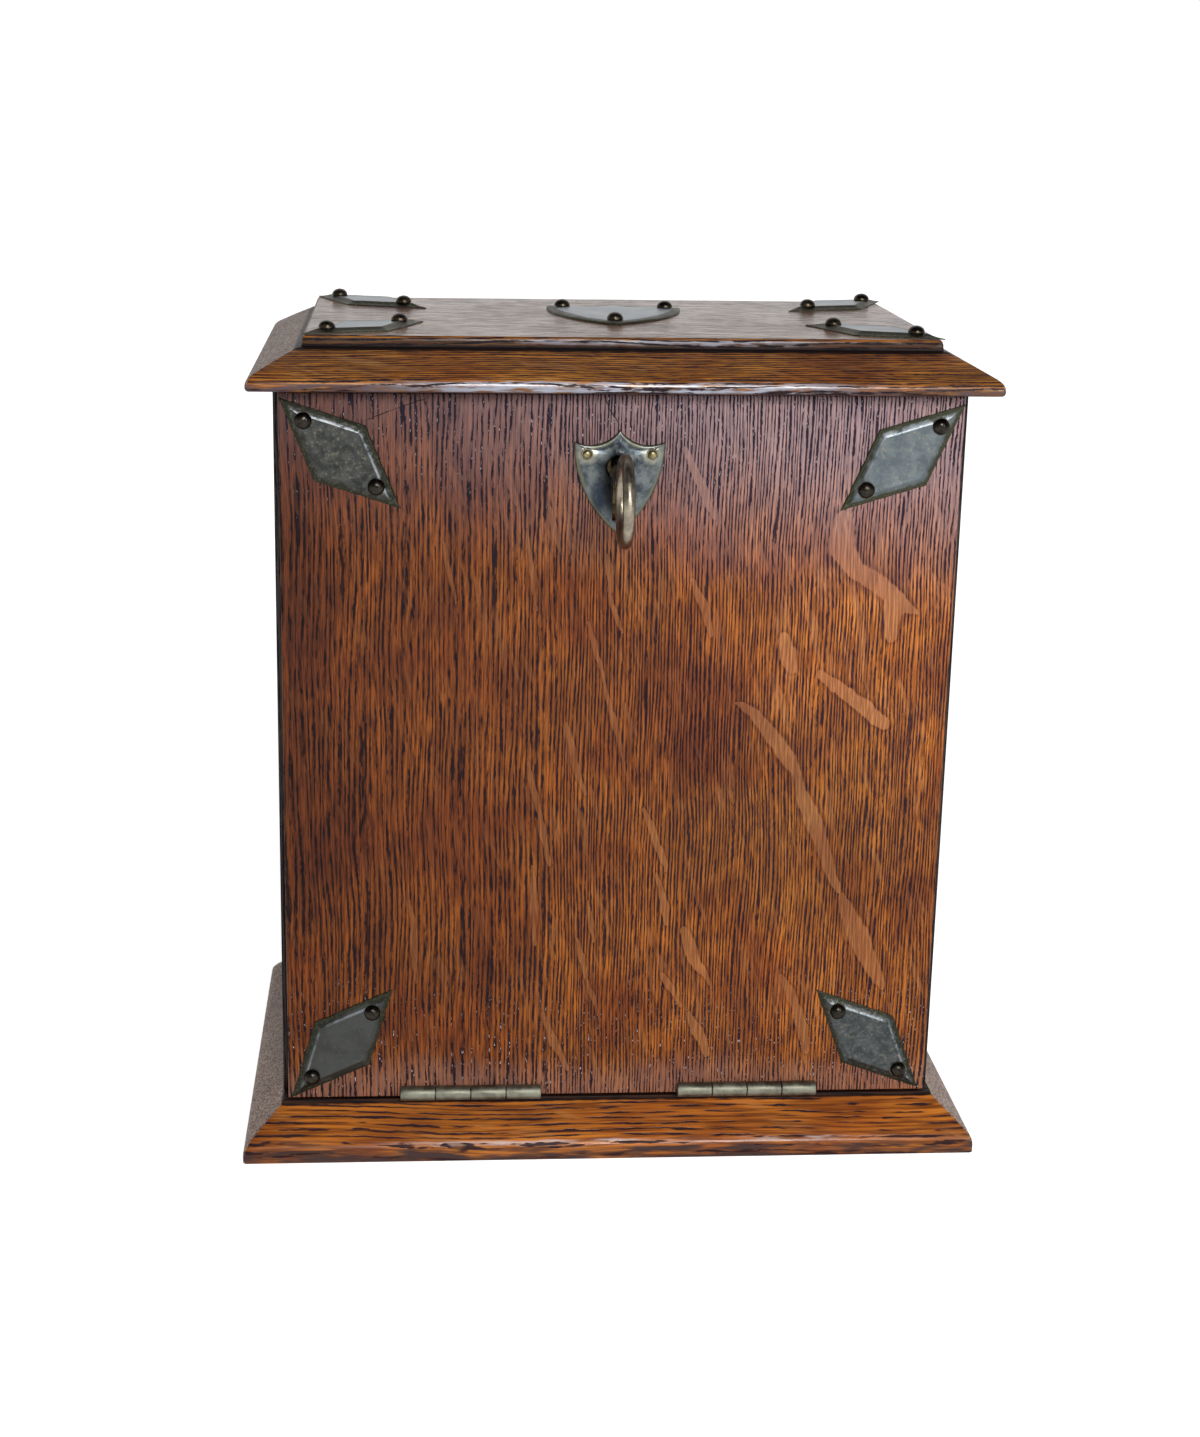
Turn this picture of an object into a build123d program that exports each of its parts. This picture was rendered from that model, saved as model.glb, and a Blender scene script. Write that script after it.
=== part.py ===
"""An oak stationery box with a fall front, a lifting lid and a turning lock.

Millimetres. The origin is the centre of the base board's underside. +X is to the right of someone who faces
the front, +Y goes towards the back and +Z is up. The box is drawn shut, with its key in the lock.
"""

import os
from math import cos, radians, sin, sqrt

from build123d import *

# ---- driving dimensions --------------------------------------------------------------------------------

# base board
base_width = 263.4
base_depth = 161.2
base_edge = 6.2                # upright edge under the slope
base_slope_run = 13.4
base_slope_rise = 10.8
base_field_rise = 1.0          # the low flat that the case stands on

# case
side_board = 8.0
back_board = 8.0
case_height = 257.9
board_gap = 0.3                # between a closed lid or front and what it closes on

# fall front
front_width = 231.0
front_board = 9.9
front_shift = -0.5             # hangs a little to the left
front_proud = 1.1              # stands out past the field of the base
front_floor_gap = 1.4
front_lid_gap = 1.2
front_corner = 1.2

# lid
lid_width = 252.3
lid_front_overhang = 9.3
lid_back_overhang = 6.4
lid_edge = 4.6
lid_slope_run = 16.6
lid_back_slope_run = 15.3
lid_slope_rise = 8.2
lid_ledge = 1.2
lid_field_rise = 3.8

edge_round = 1.4               # rounding of the moulded boards' upright edges
arris = 0.4                    # worn sharp corners

# letter rack
divider_board = 4.0
slot_depth = 24.0
groove_depth = 2.0
groove_clearance = 0.1
divider_heights = {"back": 185.0, "middle": 130.0, "front": 80.0}
divider_scoop_width = 110.0
divider_scoop_drop = 12.0
partition_board = 3.0
partition_height = 68.0
pen_rail_board = 5.0
pen_rail_height = 16.0
pen_rail_setback = 3.0
pen_rail_round = 1.6

# butt hinges
hinge_length = 50.8
barrel_radius = 2.6
hinge_pin_radius = 1.2
hinge_running_clearance = 0.05
leaf_thickness = 1.1
knuckle_count = 4
knuckle_gap = 0.3
barrel_clearance = 0.35
barrel_proud = 1.0             # barrel centre past the face of the board
front_leaf_reach = 10.6
front_hinge_rise = 3.2         # barrel centre above the field of the base
front_hinge_inset = 40.0       # from a side of the front to a hinge
lid_hinge_inset = 24.9         # from the inside of the case to a hinge
leaf_margin = 0.4

# wood screws, by the radius of their head and shank
hinge_screw = {"head": 2.1, "shank": 1.05, "length": 9.0}
lock_screw = {"head": 1.7, "shank": 0.85, "length": 7.5}
base_screw = {"head": 3.6, "shank": 1.8, "length": 30.0}
screw_slot_width_share = 0.25  # of the head's radius
screw_slot_depth_share = 0.2
hinge_screw_pitch = 18.0
screw_clearance = 0.05
pilot_spare = 0.3
base_screw_sink = 0.6
side_screw_inset = 16.1        # from the front and back edges of a side

# metal plates
plate_length = 55.2
plate_width = 25.6
plate_rim = 0.6
plate_rise = 1.0
plate_bevel = 3.2
stud_radius = 2.9
stud_height = 2.4
stud_pin_radius = 0.8
stud_pin_length = 6.0
stud_reach = 16.4              # from a plate's middle, along its length

# where the plates were nailed on by hand: middles from the nearest edges of their face, and turns in degrees
front_plate_across = {"top_left": 20.4, "top_right": 20.6, "bottom_left": 19.4, "bottom_right": 21.7}
front_plate_up = {"top_left": 20.4, "top_right": 21.0, "bottom_left": 21.3, "bottom_right": 20.5}
front_plate_turn = {"top_left": -42.8, "top_right": 41.9, "bottom_left": 48.8, "bottom_right": -44.9}
lid_plate_across = {"front_left": 20.2, "front_right": 20.2, "back_left": 21.2, "back_right": 19.4}
lid_plate_back = {"front_left": 19.8, "front_right": 19.2, "back_left": 19.4, "back_right": 19.0}
lid_plate_turn = {"front_left": 42.4, "front_right": -41.0, "back_left": -42.0, "back_right": 41.0}

# a shield, measured from the middle of the line between its two upper corners
shield_half_width = 15.4
shield_point = 4.1
shield_drop = 31.7
shield_rim = 0.6
shield_rise = 0.9
shield_bevel = 2.0
shield_hollow = (0.58, -0.28)  # middle of an upper edge: shares of the half width and of the point
shield_belly = (0.747, 0.558)  # middle of a side: shares of the half width and of the drop
escutcheon_below_top = 16.0    # from the top of the front to the shield's corners
escutcheon_pin_radius = 1.6
escutcheon_pin_height = 1.0
escutcheon_pin_length = 3.6
escutcheon_pin_across = 11.0
escutcheon_pin_drop = 4.2
lid_shield_scale = 1.61
lid_shield_shift = 2.9
lid_shield_inset = 33.1        # from the back of the lid's field to the shield's corners
lid_shield_turn = -4.0
lid_shield_stud_across = 19.0
lid_shield_stud_drop = 4.5
lid_shield_foot_stud_drop = 43.0

# lock, centred on its own line
lock_x = -2.0
lock_below_top = 24.0          # key axis under the top of the front
lock_plate = 1.5
lock_plate_half_width = 33.0
lock_plate_below = 23.0        # plate below the key axis
lock_plate_screw_across = 27.5
lock_plate_screw_drop = 18.5
selvedge_half_width = 40.0
selvedge_depth = 7.6
selvedge_screw_reach = 36.5
lock_cap_half_width = 31.5
lock_cap_below = 14.0
lock_cap_depth = 7.0
lock_cap_wall = 0.8
mortise_clearance = 0.4
hub_radius = 8.5
hub_running_clearance = 0.05
hub_end_gap = 0.2
hub_web = 0.9                  # behind the key's socket
journal_radius = 2.0
hook_thickness = 2.4
hook_gap = 0.2
hook_inner = 27.0
hook_outer = 30.0
hook_tip_angle = 38.5          # from upright, bolt drawn in
hook_span = 47.5
hook_arm_angle = 8.0
hook_clearance = 0.5
spring_thickness = 0.5
spring_half_width = 20.0
spring_gap = 0.3
keep_plate = 1.2
keep_half_width = 19.0
keep_screw_reach = 16.0
keep_shift = -4.0
keep_slot_left = -17.0
keep_slot_right = -3.0
keep_pocket_right = 8.0
keep_pocket_depth = 5.6

# keyhole and key
keyhole_radius = 4.1
keyhole_sag = 0.8              # keyhole centre under the key axis
keyhole_slot_width = 4.2
keyhole_length = 18.5          # from the key axis to the foot of the slot
key_droop = 15.0               # degrees: the key hangs in its worn lock
key_shank_radius = 2.0
key_tip = 1.0                  # shank beyond the hub's middle
key_collar_start = 8.5
key_collar_radius = 3.4
key_neck_radius = 2.2
key_bow_centre = 30.2
key_bow_radius = 13.6
key_wire_radius = 2.05
key_tip_chamfer = 0.4
key_collar_edge = 1.0
key_bit_start = 0.2            # from the hub's middle
key_bit_length = 3.4
key_bit_drop = 6.3
key_bit_thickness = 1.8
key_ward_start = 1.3           # a cut in the bit, from where the bit starts
key_ward_width = 0.8
key_ward_depth = 1.6
key_play = 0.8                 # round the shank and beside the bit
key_bit_play = 1.2             # below the bit, because the key droops as it is drawn out

# writing leather on the inside of the front
leather_thickness = 0.8
leather_side_margin = 17.5
leather_bottom_margin = 12.0
leather_lock_margin = 10.6

# ---- places worked out from them -----------------------------------------------------------------------

field_top = base_edge + base_slope_rise + base_field_rise
case_half = base_width / 2 - base_slope_run
case_back = base_depth / 2 - base_slope_run
case_top = field_top + case_height
inner_half = case_half - side_board
back_inner = case_back - back_board

front_face = -case_back - front_proud
front_inner = front_face + front_board
front_bottom = field_top + front_floor_gap
lid_under = case_top + board_gap
front_top = lid_under - front_lid_gap
case_front = front_inner + board_gap

lid_front = front_face - lid_front_overhang
lid_back = case_back + lid_back_overhang
lid_top = lid_under + lid_edge + lid_slope_rise + lid_field_rise
field_half = lid_width / 2 - lid_slope_run - lid_ledge
field_front = lid_front + lid_slope_run + lid_ledge
field_back = lid_back - lid_back_slope_run - lid_ledge

# sketches on the front look at it from outside, and those on the lid from above
front_plane = Plane.XZ.offset(-front_face)
lid_plane = Plane.XY.offset(lid_top)

front_barrel = (front_face - barrel_proud, field_top + front_hinge_rise)
lid_barrel = (case_back + barrel_proud, (case_top + lid_under) / 2)
lid_leaf_reach = back_board + barrel_proud - leaf_margin
barrel_room = barrel_radius + barrel_clearance
hinge_bore = hinge_pin_radius + hinge_running_clearance
front_left = front_shift - front_width / 2
front_right = front_shift + front_width / 2
front_hinge_lefts = {
    "left": front_left + front_hinge_inset,
    "right": front_right - front_hinge_inset - hinge_length,
}
lid_hinge_lefts = {
    "left": -inner_half + lid_hinge_inset,
    "right": inner_half - lid_hinge_inset - hinge_length,
}

key_axis = front_top - lock_below_top
lock_inner = front_inner - lock_plate
cap_face = front_inner - lock_cap_depth
hub_inner = lock_inner - hub_end_gap
hub_length = hub_inner - cap_face
hub_middle = (hub_inner + cap_face) / 2
hook_inner_face = hub_inner - hook_gap
keyhole_centre = key_axis - keyhole_sag
key_frame = Plane(
    origin=(lock_x, hub_middle, key_axis),
    x_dir=(1, 0, 0),
    z_dir=(0, -cos(radians(key_droop)), -sin(radians(key_droop))),
)

plate_top = plate_rim + plate_rise
shield_top = shield_rim + shield_rise

# the rack's dividers, from the back of the box forwards
divider_backs = {}
slot_back = back_inner
for divider_name in divider_heights:
    divider_backs[divider_name] = slot_back - slot_depth
    slot_back = divider_backs[divider_name] - divider_board



def inset_from(low, high, name, high_word, inset):
    """A place inside one end of a span: the high end if the plate's name says so."""
    return high - inset if high_word in name else low + inset


front_plates = {
    name: (
        inset_from(front_left, front_right, name, "right", front_plate_across[name]),
        inset_from(front_bottom, front_top, name, "top", front_plate_up[name]),
    )
    for name in front_plate_turn
}
lid_plates = {
    name: (
        inset_from(-field_half, field_half, name, "right", lid_plate_across[name]),
        inset_from(field_front, field_back, name, "back", lid_plate_back[name]),
    )
    for name in lid_plate_turn
}


def stud_places(middle, turn):
    """The two studs of a lozenge plate, on its long diagonal."""
    reach_x = stud_reach * cos(radians(turn))
    reach_y = stud_reach * sin(radians(turn))
    return [(middle[0] - reach_x, middle[1] - reach_y), (middle[0] + reach_x, middle[1] + reach_y)]


front_stud_places = []
for plate_name, middle in front_plates.items():
    front_stud_places += stud_places(middle, front_plate_turn[plate_name])
lid_stud_places = []
for plate_name, middle in lid_plates.items():
    lid_stud_places += stud_places(middle, lid_plate_turn[plate_name])

lid_shield_frame = Location((lid_shield_shift, field_back - lid_shield_inset, 0), (0, 0, lid_shield_turn))
lid_shield_studs = [
    (-lid_shield_stud_across, -lid_shield_stud_drop),
    (lid_shield_stud_across, -lid_shield_stud_drop),
    (0, -lid_shield_foot_stud_drop),
]
escutcheon_z = front_top - escutcheon_below_top
escutcheon_pins = [
    (lock_x + side * escutcheon_pin_across, escutcheon_z - escutcheon_pin_drop) for side in (-1, 1)
]

hinge_screw_steps = [-hinge_screw_pitch, 0.0, hinge_screw_pitch]
front_screw_y = front_barrel[0] + (barrel_room + front_leaf_reach) / 2
lid_screw_y = lid_barrel[0] - (barrel_room + lid_leaf_reach) / 2


def hinge_screw_places(lefts, y):
    """Screws of a pair of hinges, one leaf each."""
    return [(left + hinge_length / 2 + step, y) for left in lefts.values() for step in hinge_screw_steps]


front_screw_places = hinge_screw_places(front_hinge_lefts, front_screw_y)
lid_screw_places = hinge_screw_places(lid_hinge_lefts, lid_screw_y)

side_screw_x = case_half - side_board / 2
side_screw_ys = [
    case_front + side_screw_inset,
    (case_front + case_back) / 2,
    case_back - side_screw_inset,
]
back_screw_y = case_back - back_board / 2
base_screw_places = [(side * side_screw_x, y) for side in (-1, 1) for y in side_screw_ys]
base_screw_places += [(-inner_half / 2, back_screw_y), (inner_half / 2, back_screw_y)]

lock_plate_screws = [
    (lock_x + side * lock_plate_screw_across, key_axis - lock_plate_screw_drop) for side in (-1, 1)
]
selvedge_screw_y = front_inner - selvedge_depth / 2
selvedge_screws = [(lock_x + side * selvedge_screw_reach, selvedge_screw_y) for side in (-1, 1)]
keep_x = lock_x + keep_shift
keep_screws = [(keep_x + side * keep_screw_reach, selvedge_screw_y) for side in (-1, 1)]

# ---- shared shapes -------------------------------------------------------------------------------------

os.makedirs("parts", exist_ok=True)


def save(piece, name):
    """Label a finished piece and write its file."""
    piece.part.label = name
    export_step(piece.part, f"parts/{name}.step")


def save_group(name, one, places):
    """Write several copies of one small piece as a group of separate solids."""
    with BuildPart() as group:
        with Locations(*places):
            add(one.part)
    save(group, name)


def moulded_board(width, front, back, bottom, edge, runs, rise, ledge, field_rise):
    """A board with rounded edges, four slopes and a raised field. runs: sides and front, back."""
    middle = (front + back) / 2
    top_middle = middle + (runs[0] - runs[1]) / 2
    slope_foot = bottom + edge
    slope_top = slope_foot + rise
    top_size = (width - 2 * runs[0], back - front - runs[0] - runs[1])
    with BuildPart() as board:
        with BuildSketch(Plane.XY.offset(bottom)):
            with Locations((0, middle)):
                Rectangle(width, back - front)
        extrude(amount=edge)
        with BuildSketch(Plane.XY.offset(slope_foot)):
            with Locations((0, middle)):
                Rectangle(width, back - front)
        with BuildSketch(Plane.XY.offset(slope_top)):
            with Locations((0, top_middle)):
                Rectangle(*top_size)
        loft(ruled=True)
        with BuildSketch(Plane.XY.offset(slope_top)):
            with Locations((0, top_middle)):
                Rectangle(top_size[0] - 2 * ledge, top_size[1] - 2 * ledge)
        extrude(amount=field_rise)
        fillet(board.edges().filter_by_position(Axis.Z, bottom - arris, bottom + arris), edge_round)
        fillet(board.edges().filter_by_position(Axis.Z, slope_foot - arris, slope_foot + arris), edge_round)
        field_edges = board.edges().filter_by_position(
            Axis.Z, slope_top + field_rise - arris / 2, slope_top + field_rise + arris / 2
        )
        fillet(field_edges, arris)
    return board


def wood_screw(size):
    """A countersunk slotted screw, its head's face at the origin, pointing down."""
    head = size["head"]
    shank = size["shank"]
    length = size["length"]
    with BuildPart() as screw:
        with BuildSketch(Plane.XZ):
            with BuildLine():
                Polyline(
                    (0, 0), (head, 0), (shank, shank - head), (shank, -length + 2 * shank), (0, -length),
                    close=True,
                )
            make_face()
        revolve(axis=Axis.Z)
        with BuildSketch(Plane.XY):
            Rectangle(2 * head, screw_slot_width_share * head)
        extrude(amount=-screw_slot_depth_share * head, mode=Mode.SUBTRACT)
    return screw


def screw_holes(size, places, plane, sink=0.0):
    """Cut pilot holes, with countersinks, into the part being built, downwards from a plane."""
    round_holes(size["shank"] + screw_clearance, places, plane, size["length"] + pilot_spare + sink)
    if sink:
        round_holes(size["head"] + screw_clearance, places, plane, sink)


def countersinks(size, places, plane):
    """Cut countersunk holes through a thin plate, from the face in a plane."""
    with Locations(*[plane.location * Location((*place, 0)) for place in places]):
        CounterSinkHole(
            radius=size["shank"] + screw_clearance,
            counter_sink_radius=size["head"] + screw_clearance,
            depth=size["length"],
            counter_sink_angle=90,
        )


def round_holes(radius, places, plane, depth):
    """Drill round holes into the part being built."""
    with BuildSketch(plane) as holes:
        with Locations(*places):
            Circle(radius)
    extrude(holes.sketch, amount=-depth, mode=Mode.SUBTRACT)


def dome_stud(radius, height, pin_radius, pin_length):
    """A domed stud standing on z = 0, its pin pointing down."""
    sphere_radius = (radius**2 + height**2) / (2 * height)
    with BuildPart() as stud:
        with BuildSketch(Plane.XZ):
            with BuildLine():
                Line((0, 0), (radius, 0))
                RadiusArc((radius, 0), (0, height), -sphere_radius)
                Line((0, height), (0, 0))
            make_face()
        revolve(axis=Axis.Z)
        with BuildSketch(Plane.XY):
            Circle(pin_radius)
        extrude(amount=-pin_length)
    return stud


def lozenge(long_side, short_side):
    """Draw a lozenge in the sketch being built."""
    Polygon((-long_side / 2, 0), (0, -short_side / 2), (long_side / 2, 0), (0, short_side / 2), align=None)


def lozenge_plate(plane, middle, turn):
    """A lozenge plate with bevelled edges and two stud holes."""
    inner_radius = plate_length * plate_width / 2 / sqrt(plate_length**2 + plate_width**2)
    face_share = 1 - plate_bevel / inner_radius
    with BuildPart() as plate:
        with BuildSketch(plane):
            with Locations(Location((*middle, 0), (0, 0, turn))):
                lozenge(plate_length, plate_width)
        extrude(amount=plate_rim)
        with BuildSketch(plane.offset(plate_rim)):
            with Locations(Location((*middle, 0), (0, 0, turn))):
                lozenge(plate_length, plate_width)
        with BuildSketch(plane.offset(plate_top)):
            with Locations(Location((*middle, 0), (0, 0, turn))):
                lozenge(plate_length * face_share, plate_width * face_share)
        loft(ruled=True)
        round_holes(
            stud_pin_radius + screw_clearance, stud_places(middle, turn), plane.offset(plate_top), plate_top
        )
    return plate


def shield(scale):
    """Draw a shield in the sketch being built: two hollow upper edges and two full sides."""
    corner = shield_half_width * scale
    point = shield_point * scale
    tip = -shield_drop * scale
    hollow = (shield_hollow[0] * corner, shield_hollow[1] * point)
    belly = (shield_belly[0] * corner, shield_belly[1] * tip)
    with BuildLine() as outline:
        ThreePointArc((-corner, 0), (-hollow[0], hollow[1]), (0, point))
        ThreePointArc((0, point), hollow, (corner, 0))
        ThreePointArc((corner, 0), belly, (0, tip))
        ThreePointArc((0, tip), (-belly[0], belly[1]), (-corner, 0))
    make_face(outline.line)


def shield_plate(plane, scale):
    """A shield with a bevelled rim."""
    with BuildPart() as plate:
        with BuildSketch(plane):
            shield(scale)
        extrude(amount=shield_top)
        rim = plate.faces().sort_by(plane_axis(plane))[-1]
        chamfer(rim.edges(), length=shield_rise, length2=shield_bevel)
    return plate


def plane_axis(plane):
    """The line along which a plane faces."""
    return Axis(plane.origin, plane.z_dir)


def keyhole():
    """Draw the keyhole in the sketch being built: a round head over a long slot."""
    foot = key_axis - keyhole_length
    with Locations((lock_x, keyhole_centre)):
        Circle(keyhole_radius)
    with Locations((lock_x, (keyhole_centre + foot) / 2)):
        Rectangle(keyhole_slot_width, keyhole_centre - foot)


def box_between(low, high, mode=Mode.ADD):
    """A box from its lowest to its highest corner."""
    with Locations(((low[0] + high[0]) / 2, (low[1] + high[1]) / 2, (low[2] + high[2]) / 2)):
        Box(high[0] - low[0], high[1] - low[1], high[2] - low[2], mode=mode)


def hinge_leaf(left, barrel, toward, reach, low, knuckles, screw_plane, screws):
    """One leaf of a butt hinge: a flat plate, and the knuckles that it rolls into.

    toward is +1 where the plate lies behind the barrel and -1 where it lies in front of it, and low is the
    height of the plate's lower face.
    """
    axis_y, axis_z = barrel
    high = low + leaf_thickness
    plate_start = axis_y + toward * barrel_room
    plate_end = axis_y + toward * reach
    pitch = hinge_length / knuckle_count
    with BuildPart() as leaf:
        box_between(
            (left, min(plate_start, plate_end), low),
            (left + hinge_length, max(plate_start, plate_end), high),
        )
        for knuckle in knuckles:
            with BuildSketch(Plane.YZ.offset(left + knuckle * pitch + knuckle_gap / 2)):
                with Locations((axis_y, axis_z)):
                    Circle(barrel_radius)
                with BuildLine():
                    Polyline(
                        (axis_y, max(low, axis_z - barrel_radius)), (plate_start, low),
                        (plate_start, high), (axis_y, high), close=True,
                    )
                make_face()
            extrude(amount=pitch - knuckle_gap)
        round_holes(hinge_bore, [barrel], Plane.YZ.offset(left + hinge_length), hinge_length)
        countersinks(hinge_screw, screws, screw_plane)
    return leaf


def hinge_pin(left, barrel):
    """The pin of a butt hinge, with domed ends."""
    with BuildPart() as pin:
        with BuildSketch(Plane.YZ.offset(left)):
            with Locations(barrel):
                Circle(hinge_pin_radius)
        extrude(amount=hinge_length)
        fillet(pin.edges().filter_by(GeomType.CIRCLE), hinge_pin_radius / 2)
    return pin


def underside(z):
    """A plane at a height that faces down."""
    return Plane(origin=(0, 0, z), x_dir=(1, 0, 0), z_dir=(0, 0, -1))


def inside_face(y):
    """A plane that faces the back of the box."""
    return Plane(origin=(0, y, 0), x_dir=(1, 0, 0), z_dir=(0, 1, 0))


def flipped(places):
    """Places as they are on a plane that faces down or back, whose second direction runs the other way."""
    return [(x, -second) for x, second in places]


# ---- base and case -------------------------------------------------------------------------------------

base_board = moulded_board(
    base_width, -base_depth / 2, base_depth / 2, 0, base_edge,
    (base_slope_run, base_slope_run), base_slope_rise, 0, base_field_rise,
)
with BuildPart() as base_board_drilled:
    add(base_board.part)
    screw_holes(base_screw, flipped(base_screw_places), underside(0), base_screw_sink)
    countersinks(base_screw, flipped(base_screw_places), underside(base_screw_sink))
    screw_holes(hinge_screw, front_screw_places, Plane.XY.offset(field_top + leaf_thickness))
save(base_board_drilled, "base_board")

for side_name, side in {"left": -1, "right": 1}.items():
    with BuildPart() as case_side:
        box_between(
            (min(side * inner_half, side * case_half), case_front, field_top),
            (max(side * inner_half, side * case_half), case_back, case_top),
        )
        # grooves that the dividers slide into from above
        for divider_back in divider_backs.values():
            box_between(
                (
                    min(side * inner_half, side * (inner_half + groove_depth)),
                    divider_back - divider_board - groove_clearance,
                    field_top,
                ),
                (
                    max(side * inner_half, side * (inner_half + groove_depth)),
                    divider_back + groove_clearance,
                    case_top,
                ),
                mode=Mode.SUBTRACT,
            )
        screw_holes(base_screw, flipped(base_screw_places), underside(base_screw_sink))
    save(case_side, f"case_{side_name}_side")

with BuildPart() as case_back_board:
    box_between((-inner_half, back_inner, field_top), (inner_half, case_back, case_top))
    # room for the lid hinges: the leaf is let in flush and the barrel has a notch
    for left in lid_hinge_lefts.values():
        box_between(
            (left, lid_barrel[0] - lid_leaf_reach, case_top - leaf_thickness),
            (left + hinge_length, case_back, case_top),
            mode=Mode.SUBTRACT,
        )
        box_between(
            (left - barrel_clearance, lid_barrel[0] - barrel_room, lid_barrel[1] - barrel_room),
            (left + hinge_length + barrel_clearance, case_back, case_top),
            mode=Mode.SUBTRACT,
        )
    screw_holes(hinge_screw, lid_screw_places, Plane.XY.offset(case_top))
    screw_holes(base_screw, flipped(base_screw_places), underside(base_screw_sink))
save(case_back_board, "case_back")

base_screw_solid = wood_screw(base_screw)
save_group(
    "base_screws", base_screw_solid,
    [Location((x, y, base_screw_sink), (180, 0, 0)) for x, y in base_screw_places],
)

# ---- letter rack ---------------------------------------------------------------------------------------

for divider_name, height in divider_heights.items():
    half = inner_half + groove_depth - groove_clearance
    top = field_top + height
    back = divider_backs[divider_name]
    with BuildPart() as divider:
        with BuildSketch(Plane.XZ.offset(-back)):
            with BuildLine():
                Polyline(
                    (-divider_scoop_width / 2, top), (-half, top), (-half, field_top), (half, field_top),
                    (half, top), (divider_scoop_width / 2, top),
                )
                ThreePointArc(
                    (divider_scoop_width / 2, top),
                    (0, top - divider_scoop_drop),
                    (-divider_scoop_width / 2, top),
                )
            make_face()
        extrude(amount=divider_board)
    save(divider, f"divider_{divider_name}")

with BuildPart() as card_partition:
    box_between(
        (-partition_board / 2, divider_backs["front"], field_top),
        (
            partition_board / 2,
            divider_backs["middle"] - divider_board,
            field_top + partition_height,
        ),
    )
save(card_partition, "card_partition")

pen_rail_front = case_front + pen_rail_setback
with BuildPart() as pen_rail:
    box_between(
        (-inner_half, pen_rail_front, field_top),
        (inner_half, pen_rail_front + pen_rail_board, field_top + pen_rail_height),
    )
    fillet(pen_rail.edges().filter_by(Axis.X).group_by(Axis.Z)[-1], pen_rail_round)
save(pen_rail, "pen_rail")

# ---- fall front ----------------------------------------------------------------------------------------

leather_low = (front_left + leather_side_margin, front_inner - leather_thickness,
               front_bottom + leather_bottom_margin)
leather_high = (front_right - leather_side_margin, front_inner,
                key_axis - lock_plate_below - leather_lock_margin)

with BuildPart() as front_panel:
    box_between((front_left, front_face, front_bottom), (front_right, front_inner, front_top))
    fillet(front_panel.edges().filter_by(Axis.Y).group_by(Axis.Z)[-1], front_corner)
    for left in front_hinge_lefts.values():
        # the moving leaf is let into the bottom edge, and the barrel has a notch
        box_between(
            (left, front_barrel[0], front_bottom),
            (left + hinge_length, front_barrel[0] + front_leaf_reach, front_bottom + leaf_thickness),
            mode=Mode.SUBTRACT,
        )
        box_between(
            (left - barrel_clearance, front_face, front_bottom),
            (
                left + hinge_length + barrel_clearance,
                front_barrel[0] + barrel_room,
                front_barrel[1] + barrel_room,
            ),
            mode=Mode.SUBTRACT,
        )
    screw_holes(hinge_screw, flipped(front_screw_places), underside(front_bottom))
    round_holes(
        stud_pin_radius + screw_clearance, front_stud_places, front_plane, stud_pin_length - plate_top
    )
    round_holes(
        stud_pin_radius + screw_clearance, escutcheon_pins, front_plane, escutcheon_pin_length - shield_top
    )
    with BuildSketch(front_plane):
        keyhole()
    extrude(amount=-front_board, mode=Mode.SUBTRACT)
    # the lock's mortise, with shallow rebates for its plate and its selvedge
    box_between(
        (
            lock_x - lock_cap_half_width - mortise_clearance,
            cap_face - mortise_clearance,
            key_axis - lock_cap_below - mortise_clearance,
        ),
        (lock_x + lock_cap_half_width + mortise_clearance, front_inner, front_top),
        mode=Mode.SUBTRACT,
    )
    box_between(
        (lock_x - lock_plate_half_width, lock_inner, key_axis - lock_plate_below),
        (lock_x + lock_plate_half_width, front_inner, front_top),
        mode=Mode.SUBTRACT,
    )
    box_between(
        (lock_x - selvedge_half_width, front_inner - selvedge_depth, front_top - lock_plate),
        (lock_x + selvedge_half_width, front_inner, front_top),
        mode=Mode.SUBTRACT,
    )
    screw_holes(lock_screw, flipped(lock_plate_screws), inside_face(front_inner))
    screw_holes(lock_screw, selvedge_screws, Plane.XY.offset(front_top))
    # a shallow bed for the leather
    box_between(leather_low, leather_high, mode=Mode.SUBTRACT)
save(front_panel, "front_panel")

with BuildPart() as writing_leather:
    box_between(leather_low, leather_high)
save(writing_leather, "writing_leather")

for plate_name, middle in front_plates.items():
    plate = lozenge_plate(front_plane, middle, front_plate_turn[plate_name])
    save(plate, f"front_plate_{plate_name}")

plate_stud = dome_stud(stud_radius, stud_height, stud_pin_radius, stud_pin_length)
front_stud_plane = front_plane.offset(plate_top)
save_group(
    "front_studs", plate_stud,
    [front_stud_plane.location * Location((*place, 0)) for place in front_stud_places],
)

with BuildPart() as escutcheon:
    with Locations((lock_x, 0, escutcheon_z)):
        add(shield_plate(Plane.XZ.offset(-front_face), 1.0).part)
    with BuildSketch(front_plane.offset(shield_top)):
        keyhole()
    extrude(amount=-shield_top, mode=Mode.SUBTRACT)
    round_holes(
        stud_pin_radius + screw_clearance, escutcheon_pins, front_plane.offset(shield_top), shield_top
    )
save(escutcheon, "escutcheon")

escutcheon_pin = dome_stud(
    escutcheon_pin_radius, escutcheon_pin_height, stud_pin_radius, escutcheon_pin_length
)
save_group(
    "escutcheon_pins", escutcheon_pin,
    [front_plane.offset(shield_top).location * Location((*place, 0)) for place in escutcheon_pins],
)

# ---- lid -----------------------------------------------------------------------------------------------

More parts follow.
